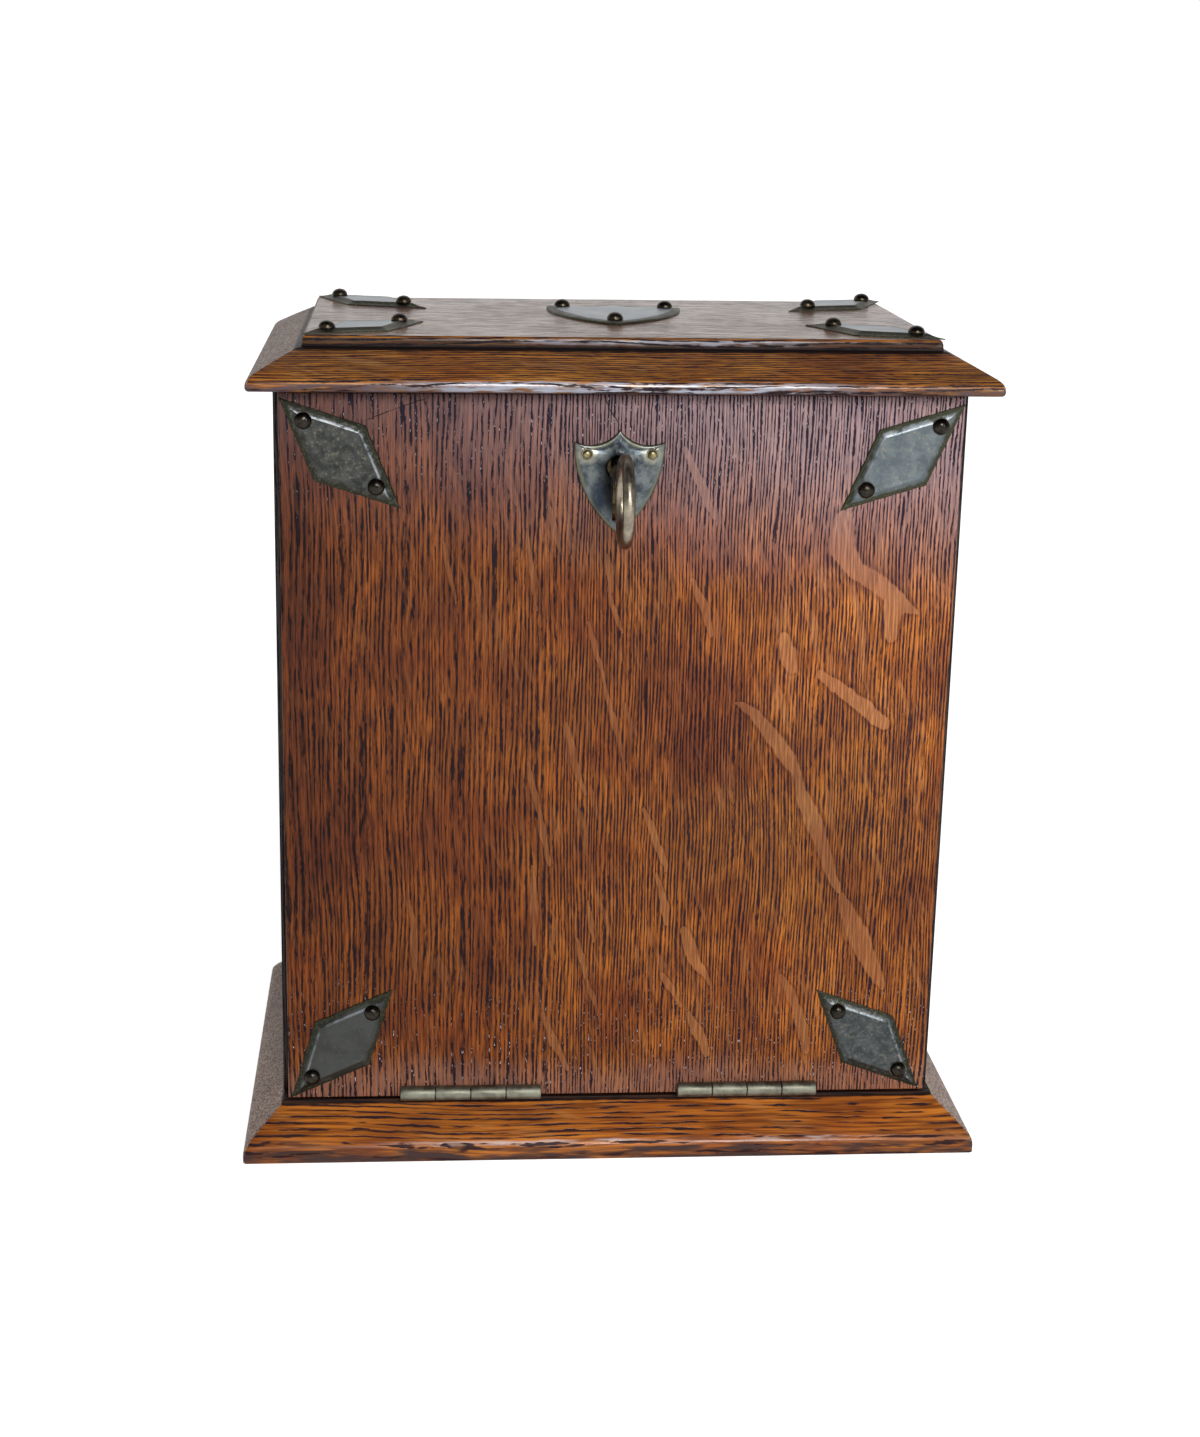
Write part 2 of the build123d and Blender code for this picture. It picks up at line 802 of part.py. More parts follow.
lid_shape = moulded_board(
    lid_width, lid_front, lid_back, lid_under, lid_edge,
    (lid_slope_run, lid_back_slope_run), lid_slope_rise, lid_ledge, lid_field_rise,
)
shield_stud_places = [
    tuple((lid_shield_frame * Location((*place, 0))).position)[:2] for place in lid_shield_studs
]
keep_y = (front_inner - selvedge_depth, front_inner)

with BuildPart() as lid_board:
    add(lid_shape.part)
    for left in lid_hinge_lefts.values():
        box_between(
            (left, lid_barrel[0] - lid_leaf_reach, lid_under),
            (left + hinge_length, lid_barrel[0], lid_under + leaf_thickness),
            mode=Mode.SUBTRACT,
        )
        # the barrel's notch runs out at the back edge
        box_between(
            (left - barrel_clearance, lid_barrel[0] - barrel_room, lid_under),
            (left + hinge_length + barrel_clearance, lid_back, lid_barrel[1] + barrel_room),
            mode=Mode.SUBTRACT,
        )
    screw_holes(hinge_screw, flipped(lid_screw_places), underside(lid_under))
    # the keep plate is let in flush, over a pocket for the hook
    box_between(
        (keep_x - keep_half_width, keep_y[0], lid_under),
        (keep_x + keep_half_width, keep_y[1], lid_under + keep_plate),
        mode=Mode.SUBTRACT,
    )
    box_between(
        (lock_x + keep_slot_left, hook_inner_face - hook_thickness - hook_clearance, lid_under),
        (lock_x + keep_pocket_right, hook_inner_face + hook_clearance, lid_under + keep_pocket_depth),
        mode=Mode.SUBTRACT,
    )
    screw_holes(lock_screw, flipped(keep_screws), underside(lid_under))
    round_holes(
        stud_pin_radius + screw_clearance, lid_stud_places, lid_plane, stud_pin_length - plate_top
    )
    round_holes(
        stud_pin_radius + screw_clearance, shield_stud_places, lid_plane, stud_pin_length - shield_top
    )
save(lid_board, "lid_board")

for plate_name, middle in lid_plates.items():
    plate = lozenge_plate(lid_plane, middle, lid_plate_turn[plate_name])
    save(plate, f"lid_plate_{plate_name}")

lid_stud_plane = lid_plane.offset(plate_top)
save_group(
    "lid_studs", plate_stud,
    [lid_stud_plane.location * Location((*place, 0)) for place in lid_stud_places],
)

with BuildPart() as lid_shield:
    with Locations(lid_plane.location * lid_shield_frame):
        add(shield_plate(Plane.XY, lid_shield_scale).part)
    round_holes(
        stud_pin_radius + screw_clearance, shield_stud_places, lid_plane.offset(shield_top), shield_top
    )
save(lid_shield, "lid_shield")
save_group(
    "lid_shield_studs", plate_stud,
    [lid_plane.offset(shield_top).location * Location((*place, 0)) for place in shield_stud_places],
)

with BuildPart() as lock_keep:
    box_between(
        (keep_x - keep_half_width, keep_y[0], lid_under),
        (keep_x + keep_half_width, keep_y[1], lid_under + keep_plate),
    )
    box_between(
        (lock_x + keep_slot_left, hook_inner_face - hook_thickness - hook_clearance, lid_under),
        (lock_x + keep_slot_right, hook_inner_face + hook_clearance, lid_under + keep_plate),
        mode=Mode.SUBTRACT,
    )
    countersinks(lock_screw, flipped(keep_screws), underside(lid_under))
save(lock_keep, "lock_keep")

# ---- hinges --------------------------------------------------------------------------------------------

fixed_knuckles = range(0, knuckle_count, 2)
moving_knuckles = range(1, knuckle_count, 2)

for hinge_name, left in front_hinge_lefts.items():
    screws = hinge_screw_places({hinge_name: left}, front_screw_y)
    base_leaf = hinge_leaf(
        left, front_barrel, 1, front_leaf_reach, field_top, fixed_knuckles,
        Plane.XY.offset(field_top + leaf_thickness), screws,
    )
    save(base_leaf, f"front_hinge_{hinge_name}_base_leaf")
    front_leaf = hinge_leaf(
        left, front_barrel, 1, front_leaf_reach, front_bottom, moving_knuckles,
        underside(front_bottom), flipped(screws),
    )
    save(front_leaf, f"front_hinge_{hinge_name}_front_leaf")
    save(hinge_pin(left, front_barrel), f"front_hinge_{hinge_name}_pin")

for hinge_name, left in lid_hinge_lefts.items():
    screws = hinge_screw_places({hinge_name: left}, lid_screw_y)
    case_leaf = hinge_leaf(
        left, lid_barrel, -1, lid_leaf_reach, case_top - leaf_thickness, fixed_knuckles,
        Plane.XY.offset(case_top), screws,
    )
    save(case_leaf, f"lid_hinge_{hinge_name}_case_leaf")
    lid_leaf = hinge_leaf(
        left, lid_barrel, -1, lid_leaf_reach, lid_under, moving_knuckles,
        underside(lid_under), flipped(screws),
    )
    save(lid_leaf, f"lid_hinge_{hinge_name}_lid_leaf")
    save(hinge_pin(left, lid_barrel), f"lid_hinge_{hinge_name}_pin")

hinge_screw_solid = wood_screw(hinge_screw)
save_group(
    "front_hinge_base_screws", hinge_screw_solid,
    [Location((x, y, field_top + leaf_thickness)) for x, y in front_screw_places],
)
save_group(
    "front_hinge_front_screws", hinge_screw_solid,
    [Location((x, y, front_bottom), (180, 0, 0)) for x, y in front_screw_places],
)
save_group(
    "lid_hinge_case_screws", hinge_screw_solid,
    [Location((x, y, case_top)) for x, y in lid_screw_places],
)
save_group(
    "lid_hinge_lid_screws", hinge_screw_solid,
    [Location((x, y, lid_under), (180, 0, 0)) for x, y in lid_screw_places],
)

# ---- lock ----------------------------------------------------------------------------------------------

hook_faces = (hook_inner_face - hook_thickness, hook_inner_face)
hook_centre = (lock_x, key_axis)


def around_key(radius, from_upright):
    """A point in the lock's plane, at a radius and an angle to the left of upright."""
    angle = radians(90 + from_upright)
    return lock_x + radius * cos(angle), key_axis + radius * sin(angle)


with BuildPart() as lock_plate_part:
    box_between(
        (lock_x - lock_plate_half_width, lock_inner, key_axis - lock_plate_below),
        (lock_x + lock_plate_half_width, front_inner, front_top),
    )
    box_between(
        (lock_x - selvedge_half_width, front_inner - selvedge_depth, front_top - lock_plate),
        (lock_x + selvedge_half_width, front_inner, front_top),
    )
    # the hook leaves through a slot in the selvedge
    slot_right = sqrt(hook_inner**2 - lock_below_top**2) - hook_clearance
    slot_left = sqrt(hook_outer**2 - (lock_below_top - lock_plate) ** 2) + hook_clearance
    box_between(
        (lock_x - slot_left, hook_faces[0] - hook_clearance, front_top - lock_plate),
        (lock_x - slot_right, lock_inner, front_top),
        mode=Mode.SUBTRACT,
    )
    round_holes(journal_radius + hub_running_clearance, flipped([hook_centre]), inside_face(front_inner),
                lock_plate)
    countersinks(lock_screw, flipped(lock_plate_screws), inside_face(front_inner))
    countersinks(lock_screw, selvedge_screws, Plane.XY.offset(front_top))
save(lock_plate_part, "lock_plate")

with BuildPart() as lock_cap:
    box_between(
        (lock_x - lock_cap_half_width, cap_face, key_axis - lock_cap_below),
        (lock_x + lock_cap_half_width, lock_inner, front_top - lock_plate),
    )
    box_between(
        (
            lock_x - lock_cap_half_width + lock_cap_wall,
            cap_face + lock_cap_wall,
            key_axis - lock_cap_below + lock_cap_wall,
        ),
        (lock_x + lock_cap_half_width - lock_cap_wall, lock_inner, front_top - lock_plate),
        mode=Mode.SUBTRACT,
    )
    with BuildSketch(Plane.XZ.offset(-cap_face)):
        with Locations(hook_centre):
            Circle(hub_radius + hub_running_clearance)
    extrude(amount=-lock_cap_wall, mode=Mode.SUBTRACT)
save(lock_cap, "lock_cap")

# the hub that the key turns, with the arm and hook that swing up into the lid
with BuildPart() as hook_bolt:
    with BuildSketch(Plane.XZ.offset(-hub_inner)):
        with Locations(hook_centre):
            Circle(hub_radius)
    extrude(amount=hub_length)
    with BuildSketch(Plane.XZ.offset(-front_inner)):
        with Locations(hook_centre):
            Circle(journal_radius)
    extrude(amount=front_inner - hub_inner)
    with BuildSketch(Plane.XZ.offset(-hook_inner_face)):
        with BuildLine():
            CenterArc(hook_centre, hook_outer, 90 + hook_tip_angle, hook_span)
            CenterArc(hook_centre, hook_inner, 90 + hook_tip_angle, hook_span)
            Line(around_key(hook_inner, hook_tip_angle), around_key(hook_outer, hook_tip_angle))
            hook_end = hook_tip_angle + hook_span
            Line(around_key(hook_inner, hook_end), around_key(hook_outer, hook_end))
        make_face()
        with BuildLine():
            Polyline(
                around_key(hub_radius / 2, hook_end - hook_arm_angle),
                around_key((hook_inner + hook_outer) / 2, hook_end - hook_arm_angle),
                around_key((hook_inner + hook_outer) / 2, hook_end),
                around_key(hub_radius / 2, hook_end),
                close=True,
            )
        make_face()
    extrude(amount=hook_thickness)
    # the key's socket: a round hole and a slot for the bit, closed at the inner end
    socket_depth = hub_length - hub_web
    bit_reach = key_bit_drop + key_bit_play
    with BuildSketch(Plane.XZ.offset(-cap_face)):
        with Locations(hook_centre):
            Circle(key_shank_radius + key_play)
        with Locations((lock_x, key_axis - bit_reach / 2)):
            Rectangle(key_bit_thickness + key_play, bit_reach)
    extrude(amount=-socket_depth, mode=Mode.SUBTRACT)
save(hook_bolt, "hook_bolt")

# a flat spring under the hub, its ends turned down to the cap's floor
spring_top = key_axis - hub_radius - spring_gap - spring_thickness / 2
spring_floor = key_axis - lock_cap_below + lock_cap_wall + spring_thickness / 2
with BuildPart() as lock_spring:
    with BuildSketch(Plane.XZ.offset(-hook_inner_face)):
        with BuildLine():
            Polyline(
                (lock_x - spring_half_width, spring_floor),
                (lock_x - spring_half_width, spring_top),
                (lock_x + spring_half_width, spring_top),
                (lock_x + spring_half_width, spring_floor),
            )
            offset(amount=spring_thickness / 2, side=Side.BOTH)
        make_face()
    extrude(amount=hook_thickness)
save(lock_spring, "lock_spring")

lock_screw_solid = wood_screw(lock_screw)
save_group(
    "lock_screws", lock_screw_solid,
    [inside_face(front_inner).location * Location((x, z, 0)) for x, z in flipped(lock_plate_screws)]
    + [Location((x, y, front_top)) for x, y in selvedge_screws],
)
save_group(
    "lock_keep_screws", lock_screw_solid,
    [Location((x, y, lid_under), (180, 0, 0)) for x, y in keep_screws],
)

# ---- key -----------------------------------------------------------------------------------------------

# drawn upright, its tip down and its bit towards -Y, then laid in the lock
with BuildPart() as upright_key:
    shank_end = key_bow_centre - key_bow_radius
    collar_end = key_collar_start + key_collar_edge
    with BuildSketch(Plane.XZ):
        with BuildLine():
            Polyline(
                (0, -key_tip),
                (key_shank_radius - key_tip_chamfer, -key_tip),
                (key_shank_radius, -key_tip + key_tip_chamfer),
                (key_shank_radius, key_collar_start),
                (key_collar_radius, key_collar_start),
                (key_collar_radius, collar_end),
            )
            Spline(
                (key_collar_radius, collar_end),
                ((key_collar_radius + 2 * key_neck_radius) / 3, (collar_end + shank_end) / 2),
                (key_neck_radius, shank_end),
            )
            Polyline((key_neck_radius, shank_end), (0, shank_end), (0, -key_tip))
        make_face()
    revolve(axis=Axis.Z)
    with Locations(Location((0, 0, key_bow_centre), (0, 90, 0))):
        Torus(key_bow_radius, key_wire_radius)
    box_between(
        (-key_bit_thickness / 2, -key_bit_drop, key_bit_start),
        (key_bit_thickness / 2, 0, key_bit_start + key_bit_length),
    )
    ward_start = key_bit_start + key_ward_start
    box_between(
        (-key_bit_thickness, -key_bit_drop, ward_start),
        (key_bit_thickness, -key_bit_drop + key_ward_depth, ward_start + key_ward_width),
        mode=Mode.SUBTRACT,
    )
with BuildPart() as key:
    with Locations(key_frame.location):
        add(upright_key.part)
save(key, "key")
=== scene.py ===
"""Looks of the oak stationery box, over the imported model."""

import cmath
import math

import bmesh
import bpy
import numpy as np
from mathutils import Matrix, Vector, noise


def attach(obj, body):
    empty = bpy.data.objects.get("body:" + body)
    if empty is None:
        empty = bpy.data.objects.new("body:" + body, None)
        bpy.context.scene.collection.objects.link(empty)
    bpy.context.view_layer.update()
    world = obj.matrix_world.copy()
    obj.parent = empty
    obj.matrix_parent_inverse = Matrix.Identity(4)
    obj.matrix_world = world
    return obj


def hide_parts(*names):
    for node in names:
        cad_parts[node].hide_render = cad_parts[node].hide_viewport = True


MM = 0.001
WHITE = (1.0, 1.0, 1.0, 1.0)

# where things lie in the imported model, in millimetres
FRONT_FACE = -68.3
LID_FIELD = 292.8
FRONT_PLATES = {
    "top_left": (-95.6, 254.6, -42.8), "top_right": (94.4, 254.0, 41.9),
    "bottom_left": (-96.6, 40.7, 48.8), "bottom_right": (93.3, 39.9, -44.9),
}
LID_PLATES = {
    "front_left": (-88.15, -40.0, 42.4), "front_right": (88.15, -40.6, -41.0),
    "back_left": (-87.15, 37.7, -42.0), "back_right": (88.95, 38.1, 41.0),
}
# the lock: its shield's corners and pins, and its keyhole's round part and foot
LOCK_X = -2.0
SHIELD_Z = 259.0
PIN_REACH, PIN_Z = 11.0, 254.8
KEYHOLE_Z, KEYHOLE_FOOT = 250.2, 232.5
# the lid's shield: x, y and turn, and its studs measured from there
LID_SHIELD = (2.9, 24.0, -4.0)
LID_SHIELD_STUDS = ((-19.0, -4.5), (19.0, -4.5), (0.0, -43.0))


def srgb(*shown):
    """The linear colour of one written 0 to 255 as a screen shows it."""
    shares = [value / 255 for value in shown]
    return (*(s / 12.92 if s <= 0.04045 else ((s + 0.055) / 1.055) ** 2.4 for s in shares), 1.0)


# ---- materials ----

class Tree:
    """A shader node tree written as expressions."""

    def __init__(self, tree):
        self.tree = tree
        tree.nodes.clear()

    def node(self, kind, values=None, **settings):
        made = self.tree.nodes.new("ShaderNode" + kind)
        for key, value in settings.items():
            setattr(made, key, value)
        for key, value in (values or {}).items():
            self.plug(value, made.inputs[key])
        return made

    def plug(self, value, socket):
        if isinstance(value, bpy.types.NodeSocket):
            self.tree.links.new(value, socket)
        else:
            socket.default_value = value

    def scaled(self, vector, factor):
        return self.node("VectorMath", {0: vector, "Scale": factor}, operation="SCALE").outputs[0]

    def stretched(self, vector, scale, shift=(0, 0, 0), turn=(0, 0, 0)):
        values = {"Vector": vector, "Location": shift, "Rotation": turn, "Scale": scale}
        return self.node("Mapping", values, vector_type="POINT").outputs[0]

    def parts(self, vector):
        return self.node("SeparateXYZ", {0: vector}).outputs

    def noise(self, vector, size, detail=2, rough=0.5, output="Fac"):
        values = {"Vector": vector, "Scale": 1 / size, "Detail": detail, "Roughness": rough}
        return self.node("TexNoise", values, noise_dimensions="3D").outputs[output]

    def wander(self, vector, size, reach):
        """The vector moved about by up to reach, over lengths of size."""
        moved = self.noise(vector, size, 1, 0.5, "Color")
        shift = self.node("VectorMath", {0: moved, 1: (0.5, 0.5, 0.5)}, operation="SUBTRACT")
        values = {0: vector, 1: self.scaled(shift.outputs[0], 2 * reach)}
        return self.node("VectorMath", values, operation="ADD").outputs[0]

    def calc(self, operation, *values):
        made = self.node("Math", operation=operation)
        for index, value in enumerate(values):
            self.plug(value, made.inputs[index])
        return made.outputs[0]

    def line(self, value, slope, start):
        return self.calc("MULTIPLY_ADD", value, slope, start)

    def swing(self, value, slope, start):
        """A line of a value's distance from a half."""
        return self.line(self.calc("SUBTRACT", value, 0.5), slope, start)

    def times(self, first, *others):
        for other in others:
            first = self.calc("MULTIPLY", first, other)
        return first

    def rest(self, share):
        """What a share leaves of 1."""
        return self.calc("SUBTRACT", 1, share)

    def ramp(self, value, low, high, start=0, end=1):
        """Smoothly from start at low to end at high."""
        values = {0: value, 1: low, 2: high, 3: start, 4: end}
        return self.node("MapRange", values, interpolation_type="SMOOTHSTEP").outputs[0]

    def blend(self, share, first, second, kind="MIX"):
        """Blends sockets, linear colours of four values, or three as srgb takes them."""
        made = self.node("Mix", {0: share}, data_type="RGBA", blend_type=kind, clamp_factor=True)
        for index, colour in ((6, first), (7, second)):
            shown = isinstance(colour, tuple) and len(colour) == 3
            self.plug(srgb(*colour) if shown else colour, made.inputs[index])
        return made.outputs[2]

    def bump(self, height, strength, distance, under=None):
        values = {"Height": height, "Strength": strength, "Distance": distance}
        if under is not None:
            values["Normal"] = under
        return self.node("Bump", values).outputs[0]

    def blob(self, place, middle, half, turn=0):
        """0 at the middle of an ellipse on the front, and 1 on its edge."""
        endless = 1e4
        values = {"Vector": place, "Location": (middle[0], 0, middle[1]),
                  "Rotation": (0, -math.radians(turn), 0), "Scale": (half[0], endless, half[1])}
        mapped = self.node("Mapping", values, vector_type="TEXTURE").outputs[0]
        return self.node("VectorMath", {0: mapped}, operation="LENGTH").outputs["Value"]

    def attribute(self, name):
        return self.node("Attribute", attribute_name=name).outputs["Fac"]

    def background_share(self):
        """1 on rays straight from the camera, and 1 on rays mirrored or through glass."""
        path = self.node("LightPath").outputs
        mirrored = self.calc("MAXIMUM", path["Is Glossy Ray"], path["Is Transmission Ray"])
        return path["Is Camera Ray"], mirrored


class Graph(Tree):
    """A material's tree, and the place in millimetres that its patterns are drawn by."""

    def __init__(self, name):
        self.material = bpy.data.materials.new(name)
        self.material.use_nodes = True
        super().__init__(self.material.node_tree)
        coordinates = self.node("TexCoord").outputs
        self.facing = coordinates["Normal"]
        self.place = self.scaled(coordinates["Object"], 1 / MM)

    def finish(self, **values):
        shader = self.node("BsdfPrincipled", values)
        self.node("OutputMaterial", {"Surface": shader.outputs[0]})
        return self.material


# ray flecks of the front panel: strokes of points, each with x, z and a half width
FLECKS = [
    [(75.1, 232, 4), (75.1, 223, 5), (80.3, 215.6, 3.4), (87.2, 210.9, 3.1),
     (93.2, 206.5, 3.3), (98.4, 202, 2.8), (103, 199.6, 0.9)],
    [(94.4, 202, 3.4), (94.1, 197, 3.4), (93.4, 191.6, 2.2)],
    [(56.6, 190.4, 2.2), (58.3, 185.4, 3.5), (60.5, 180.4, 2)],
    [(70, 178, 1.4), (76, 173.5, 2.5), (84, 167.5, 2.6), (90, 162.5, 2.7), (94, 159, 1.8)],
    [(41, 167.5, 0.7), (46.3, 163.9, 1.9), (51.5, 158, 2.5), (55.2, 153.5, 3),
     (59.6, 147, 3), (63.6, 139.6, 1.4)],
    [(63.4, 139.2, 1.2), (65.3, 133, 2.3), (69.6, 123.7, 2.9), (72.6, 116.6, 2.8),
     (75.4, 109.5, 2.4), (79.1, 100, 1.8), (80, 97.6, 0.8)],
    [(81.1, 96, 1.4), (83.7, 89.6, 3), (87.8, 81, 3.7), (91.4, 73.2, 3.5),
     (95, 65.5, 2.6), (98.2, 59.4, 1)],
    [(23.5, 212.2, 0.7), (26.5, 205.6, 1.5), (29.6, 198.5, 1.7), (31.2, 191, 0.8)],
    [(8.9, 128.7, 0.7), (12, 122, 1.2), (14.3, 115.5, 1.5), (18, 108, 1), (18.8, 105, 0.5)],
    [(15, 104.3, 0.7), (17.5, 93, 1.8), (18.6, 85.5, 0.9)],
    [(24.8, 82.4, 1.4), (27, 76.7, 2.5), (28.4, 71, 2.2), (32.4, 66.2, 1.4), (36.4, 60, 0.6)],
    [(16.8, 66.7, 0.7), (20.8, 59.5, 1.2), (24.4, 53.8, 0.7)],
    [(27.8, 50.5, 1.2), (31.9, 42.7, 2.4), (34.6, 34.9, 1.2)],
    [(60.4, 65.2, 0.9), (64, 58.9, 1.8), (67.3, 52, 1.8), (69.3, 44.3, 2.4), (71.2, 35, 1.2)],
    [(-12.9, 80.2, 0.5), (-11, 72, 1), (-10, 65.3, 0.7), (-7.6, 57.6, 1), (-5.2, 50, 0.5)],
    [(-9.2, 94.8, 0.5), (-7.7, 85.4, 0.9), (-7.2, 78.8, 0.5)],
]
# straight ones: x and z of both ends, and the half widths there and in the middle
for x0, z0, x1, z1, tip, middle in (
    (20.5, 257.5, 31.5, 232.9, 0.8, 1.7), (-5.5, 220.2, -3.9, 207, 0.7, 1.5),
    (-5.5, 208.3, 0.7, 192.3, 0.5, 1.2), (-11.4, 196.7, -4.8, 173.7, 0.5, 1),
    (-6, 177.4, 1.8, 146, 0.5, 1.2), (-25.8, 238.3, -21.6, 219.9, 0.5, 1),
    (-32.9, 227.9, -29.1, 200.3, 0.4, 0.9), (-40.2, 252.1, -36.4, 236.5, 0.6, 1.3),
    (-61, 225.3, -56.2, 202.9, 0.5, 1), (-59.9, 255.6, -53.7, 236.4, 0.6, 1.3),
    (-18.2, 160.2, -11.6, 134, 0.6, 1.3), (-31, 146.3, -27.4, 125.5, 0.6, 1.4),
    (-28.4, 130, -23.2, 107.6, 0.6, 1.4), (-29.3, 107.4, -28.3, 77.2, 0.6, 1.4),
    (-25, 52.1, -16.4, 28.5, 0.7, 1.5), (-72.4, 94.9, -69.6, 63.5, 0.6, 1.3),
):
    FLECKS.append([(x0, z0, tip), ((x0 + x1) / 2, (z0 + z1) / 2, middle), (x1, z1, tip)])
# scratches and cracks of the front panel: x, z, half length, half width and lean
CRACKS = [
    (-6.8, 272.7, 2.5, 0.25, -63), (-4.1, 267.6, 4, 0.25, -58), (-82.7, 267.5, 5.7, 0.2, 22),
    (-72.2, 271.4, 6.6, 0.2, 19),
]


PORE_PITCH = 1.22     # from one line of pores to the next, unless they are coarse


class Grain(Graph):
    """Oak's patterns along an axis: waves of pore lines, dashes, fibres and patches."""

    def __init__(self, name, along, seed, coarse, run, panel):
        super().__init__(name)
        self.along = along
        size = 1 / coarse
        self.base = self.stretched(self.place, (size, size, size), (seed, seed * 1.7, seed * 0.6))
        self.bent = self.wander(self.base, 70, 2)
        self.bent_parts = self.parts(self.bent)
        self.wave = self.pore_lines(panel)
        self.dash = self.noise(self.lengthened(run, 31), 0.75, 1)
        self.fibre = self.noise(self.lengthened(24, 5), 0.42, 1)
        self.broad = self.noise(self.place, 34)
        self.patch = self.noise(self.lengthened(3, 50), 9)

    def lengthened(self, times, shift=0):
        """The place for a pattern so many times as long along the grain."""
        squeeze = [1, 1, 1]
        squeeze[self.along] = 1 / times
        return self.stretched(self.bent, tuple(squeeze), (shift, shift * 0.7, shift * 0.3))

    def pore_lines(self, panel):
        """A bent wave across the grain, with the pores on its crests."""
        first, second = [axis for axis in (0, 1, 2) if axis != self.along]
        across = self.line(self.bent_parts[second], 0.55, self.bent_parts[first])
        if panel:
            # on the left the lines lie wider apart
            leftward = self.calc("MINIMUM", self.calc("ADD", self.bent_parts[0], 20), 0)
            across = self.line(leftward, -0.35, across)
        for times, shift, size, detail, reach in (
                (20, 0, 7, 2, 5), (16, 11, 1.4, 1, 0.9), (3, 21, 0.7, 1, 0.5)):
            across = self.line(self.noise(self.lengthened(times, shift), size, detail), reach, across)
        wave = self.calc("SINE", self.times(across, math.tau / PORE_PITCH))
        return self.line(wave, 0.5, 0.5)


def pore_shares(g, pores, panel):
    """How far a place lies in a pore, and in the soft dark line round it."""
    grain = g.swing(g.dash, 1.9, g.wave)
    limit = g.ramp(g.calc("ADD", g.patch, g.broad), 0.75, 1.25, 0.60 - pores, 0.88 - pores)
    crest = g.wave
    if panel:
        # fewer pores to the upper left, more at the top, and wider lines to the right
        x, _, z = g.bent_parts
        sparse = g.times(g.ramp(x, -60, 0, 1, 0), g.ramp(z, 60, 190, 0.4, 1))
        limit = g.line(sparse, 0.15, limit)
        limit = g.calc("ADD", limit, g.ramp(z, 225, 264, 0, -0.14))
        wide = g.times(g.ramp(x, -30, 50, 0, 0.14), g.ramp(g.broad, 0.35, 0.65))
        crest = g.calc("ADD", g.wave, wide)
    over = g.calc("SUBTRACT", grain, limit)
    pore = g.times(g.ramp(crest, 0.42, 0.78), g.ramp(over, -0.1, 0.15))
    soft = g.times(g.ramp(g.wave, 0, 0.6, 0.3, 1), g.ramp(over, -0.8, 0.05))
    return pore, soft


def streak_share(g):
    """How far a place lies in a smooth streak, which slants across the grain."""
    slanted = [1, 1, 1]
    slanted[g.along] = 1 / 9
    turn = [(0, 0, 0.26), (0, 0, 0), (0, 0.24, 0)][g.along]
    turned_place = g.stretched(g.wander(g.base, 12, 1.2), (1, 1, 1), turn=turn)
    streaks = g.noise(g.stretched(turned_place, tuple(slanted)), 2.6, 1, 0.5)
    return g.times(g.ramp(streaks, 0.60, 0.68), 0.5)


def flecked(g, smooth, colour):
    """The smooth share and the colour with the panel's ray flecks and their shade."""
    depth = g.swing(g.fibre, 0.25, g.attribute("fleck"))
    smooth = g.calc("MAXIMUM", smooth, g.ramp(depth, 0.84, 1.04, 0.85, 0))
    beside = g.times(g.ramp(depth, 0.92, 1.1), g.ramp(depth, 1.15, 1.8, 1, 0), 0.4)
    return smooth, g.blend(beside, colour, (80, 36, 16))


def panel_shades(g, colour, pore):
    """The panel's colour with its tones, a painted reflection under the lid, a paler foot, painted glints in
    its pores, and cracks.
    """
    x, _, z = g.parts(g.wander(g.place, 30, 9))
    leftward = g.times(g.ramp(x, -116, 70, 0.9, 0), g.ramp(z, 30, 120, 0.7, 1))
    far_left = g.times(g.ramp(x, -112, -88, 0.7, 0), g.ramp(z, 60, 110))
    right_middle = g.ramp(g.blob(g.place, (62, 122), (60, 52)), 0.3, 1.1, 1, 0)
    upper_right = g.times(g.ramp(x, -5, 85), g.ramp(z, 80, 200, 0.1, 0.8))
    middle = g.ramp(g.blob(g.place, (26, 164), (38, 46)), 0.2, 1, 0.75, 0)
    for share, tint in (
        (leftward, (166, 144, 128)), (far_left, (186, 170, 160)), (right_middle, (236, 242, 246)),
        (upper_right, (1.38, 1.45, 1.75, 1)), (middle, (184, 158, 190)),
    ):
        colour = g.blend(share, colour, tint, "MULTIPLY")

    # painted reflection: a grey sheen under the lid; and the panel is paler towards its foot
    under_lid_sheen = g.ramp(g.line(x, 0.12, z), 206, 276, 0, 0.72)
    rightward = g.ramp(x, -110, 70)
    sheen_colour = g.blend(g.fibre, g.blend(rightward, (58, 42, 44), (112, 100, 110)),
                    g.blend(rightward, (122, 92, 88), (184, 166, 174)))
    colour = g.blend(under_lid_sheen, colour, g.blend(pore, sheen_colour, (32, 27, 44)))
    foot = g.times(g.ramp(z, 24, 38, 0.3, 0), g.rest(pore))
    colour = g.blend(foot, colour, (150, 120, 112))

    # painted highlights: white glints in the pores near the top and the bottom
    glint = g.times(g.ramp(g.noise(g.lengthened(3, 90), 0.45, 1), 0.66, 0.72), pore)
    glint_zone = g.calc("MAXIMUM", g.ramp(z, 225, 262, 0, 0.6), g.ramp(z, 40, 75, 0.7, 0))
    colour = g.blend(g.times(glint, glint_zone), colour, (208, 200, 204))
    for crack_x, crack_z, half, width, lean in CRACKS:
        depth = g.blob(g.wander(g.place, 3, 0.3), (crack_x, crack_z), (half, width), lean)
        colour = g.blend(g.ramp(depth, 0.7, 1.2, 0.85, 0), colour, (20, 12, 12))
    return colour


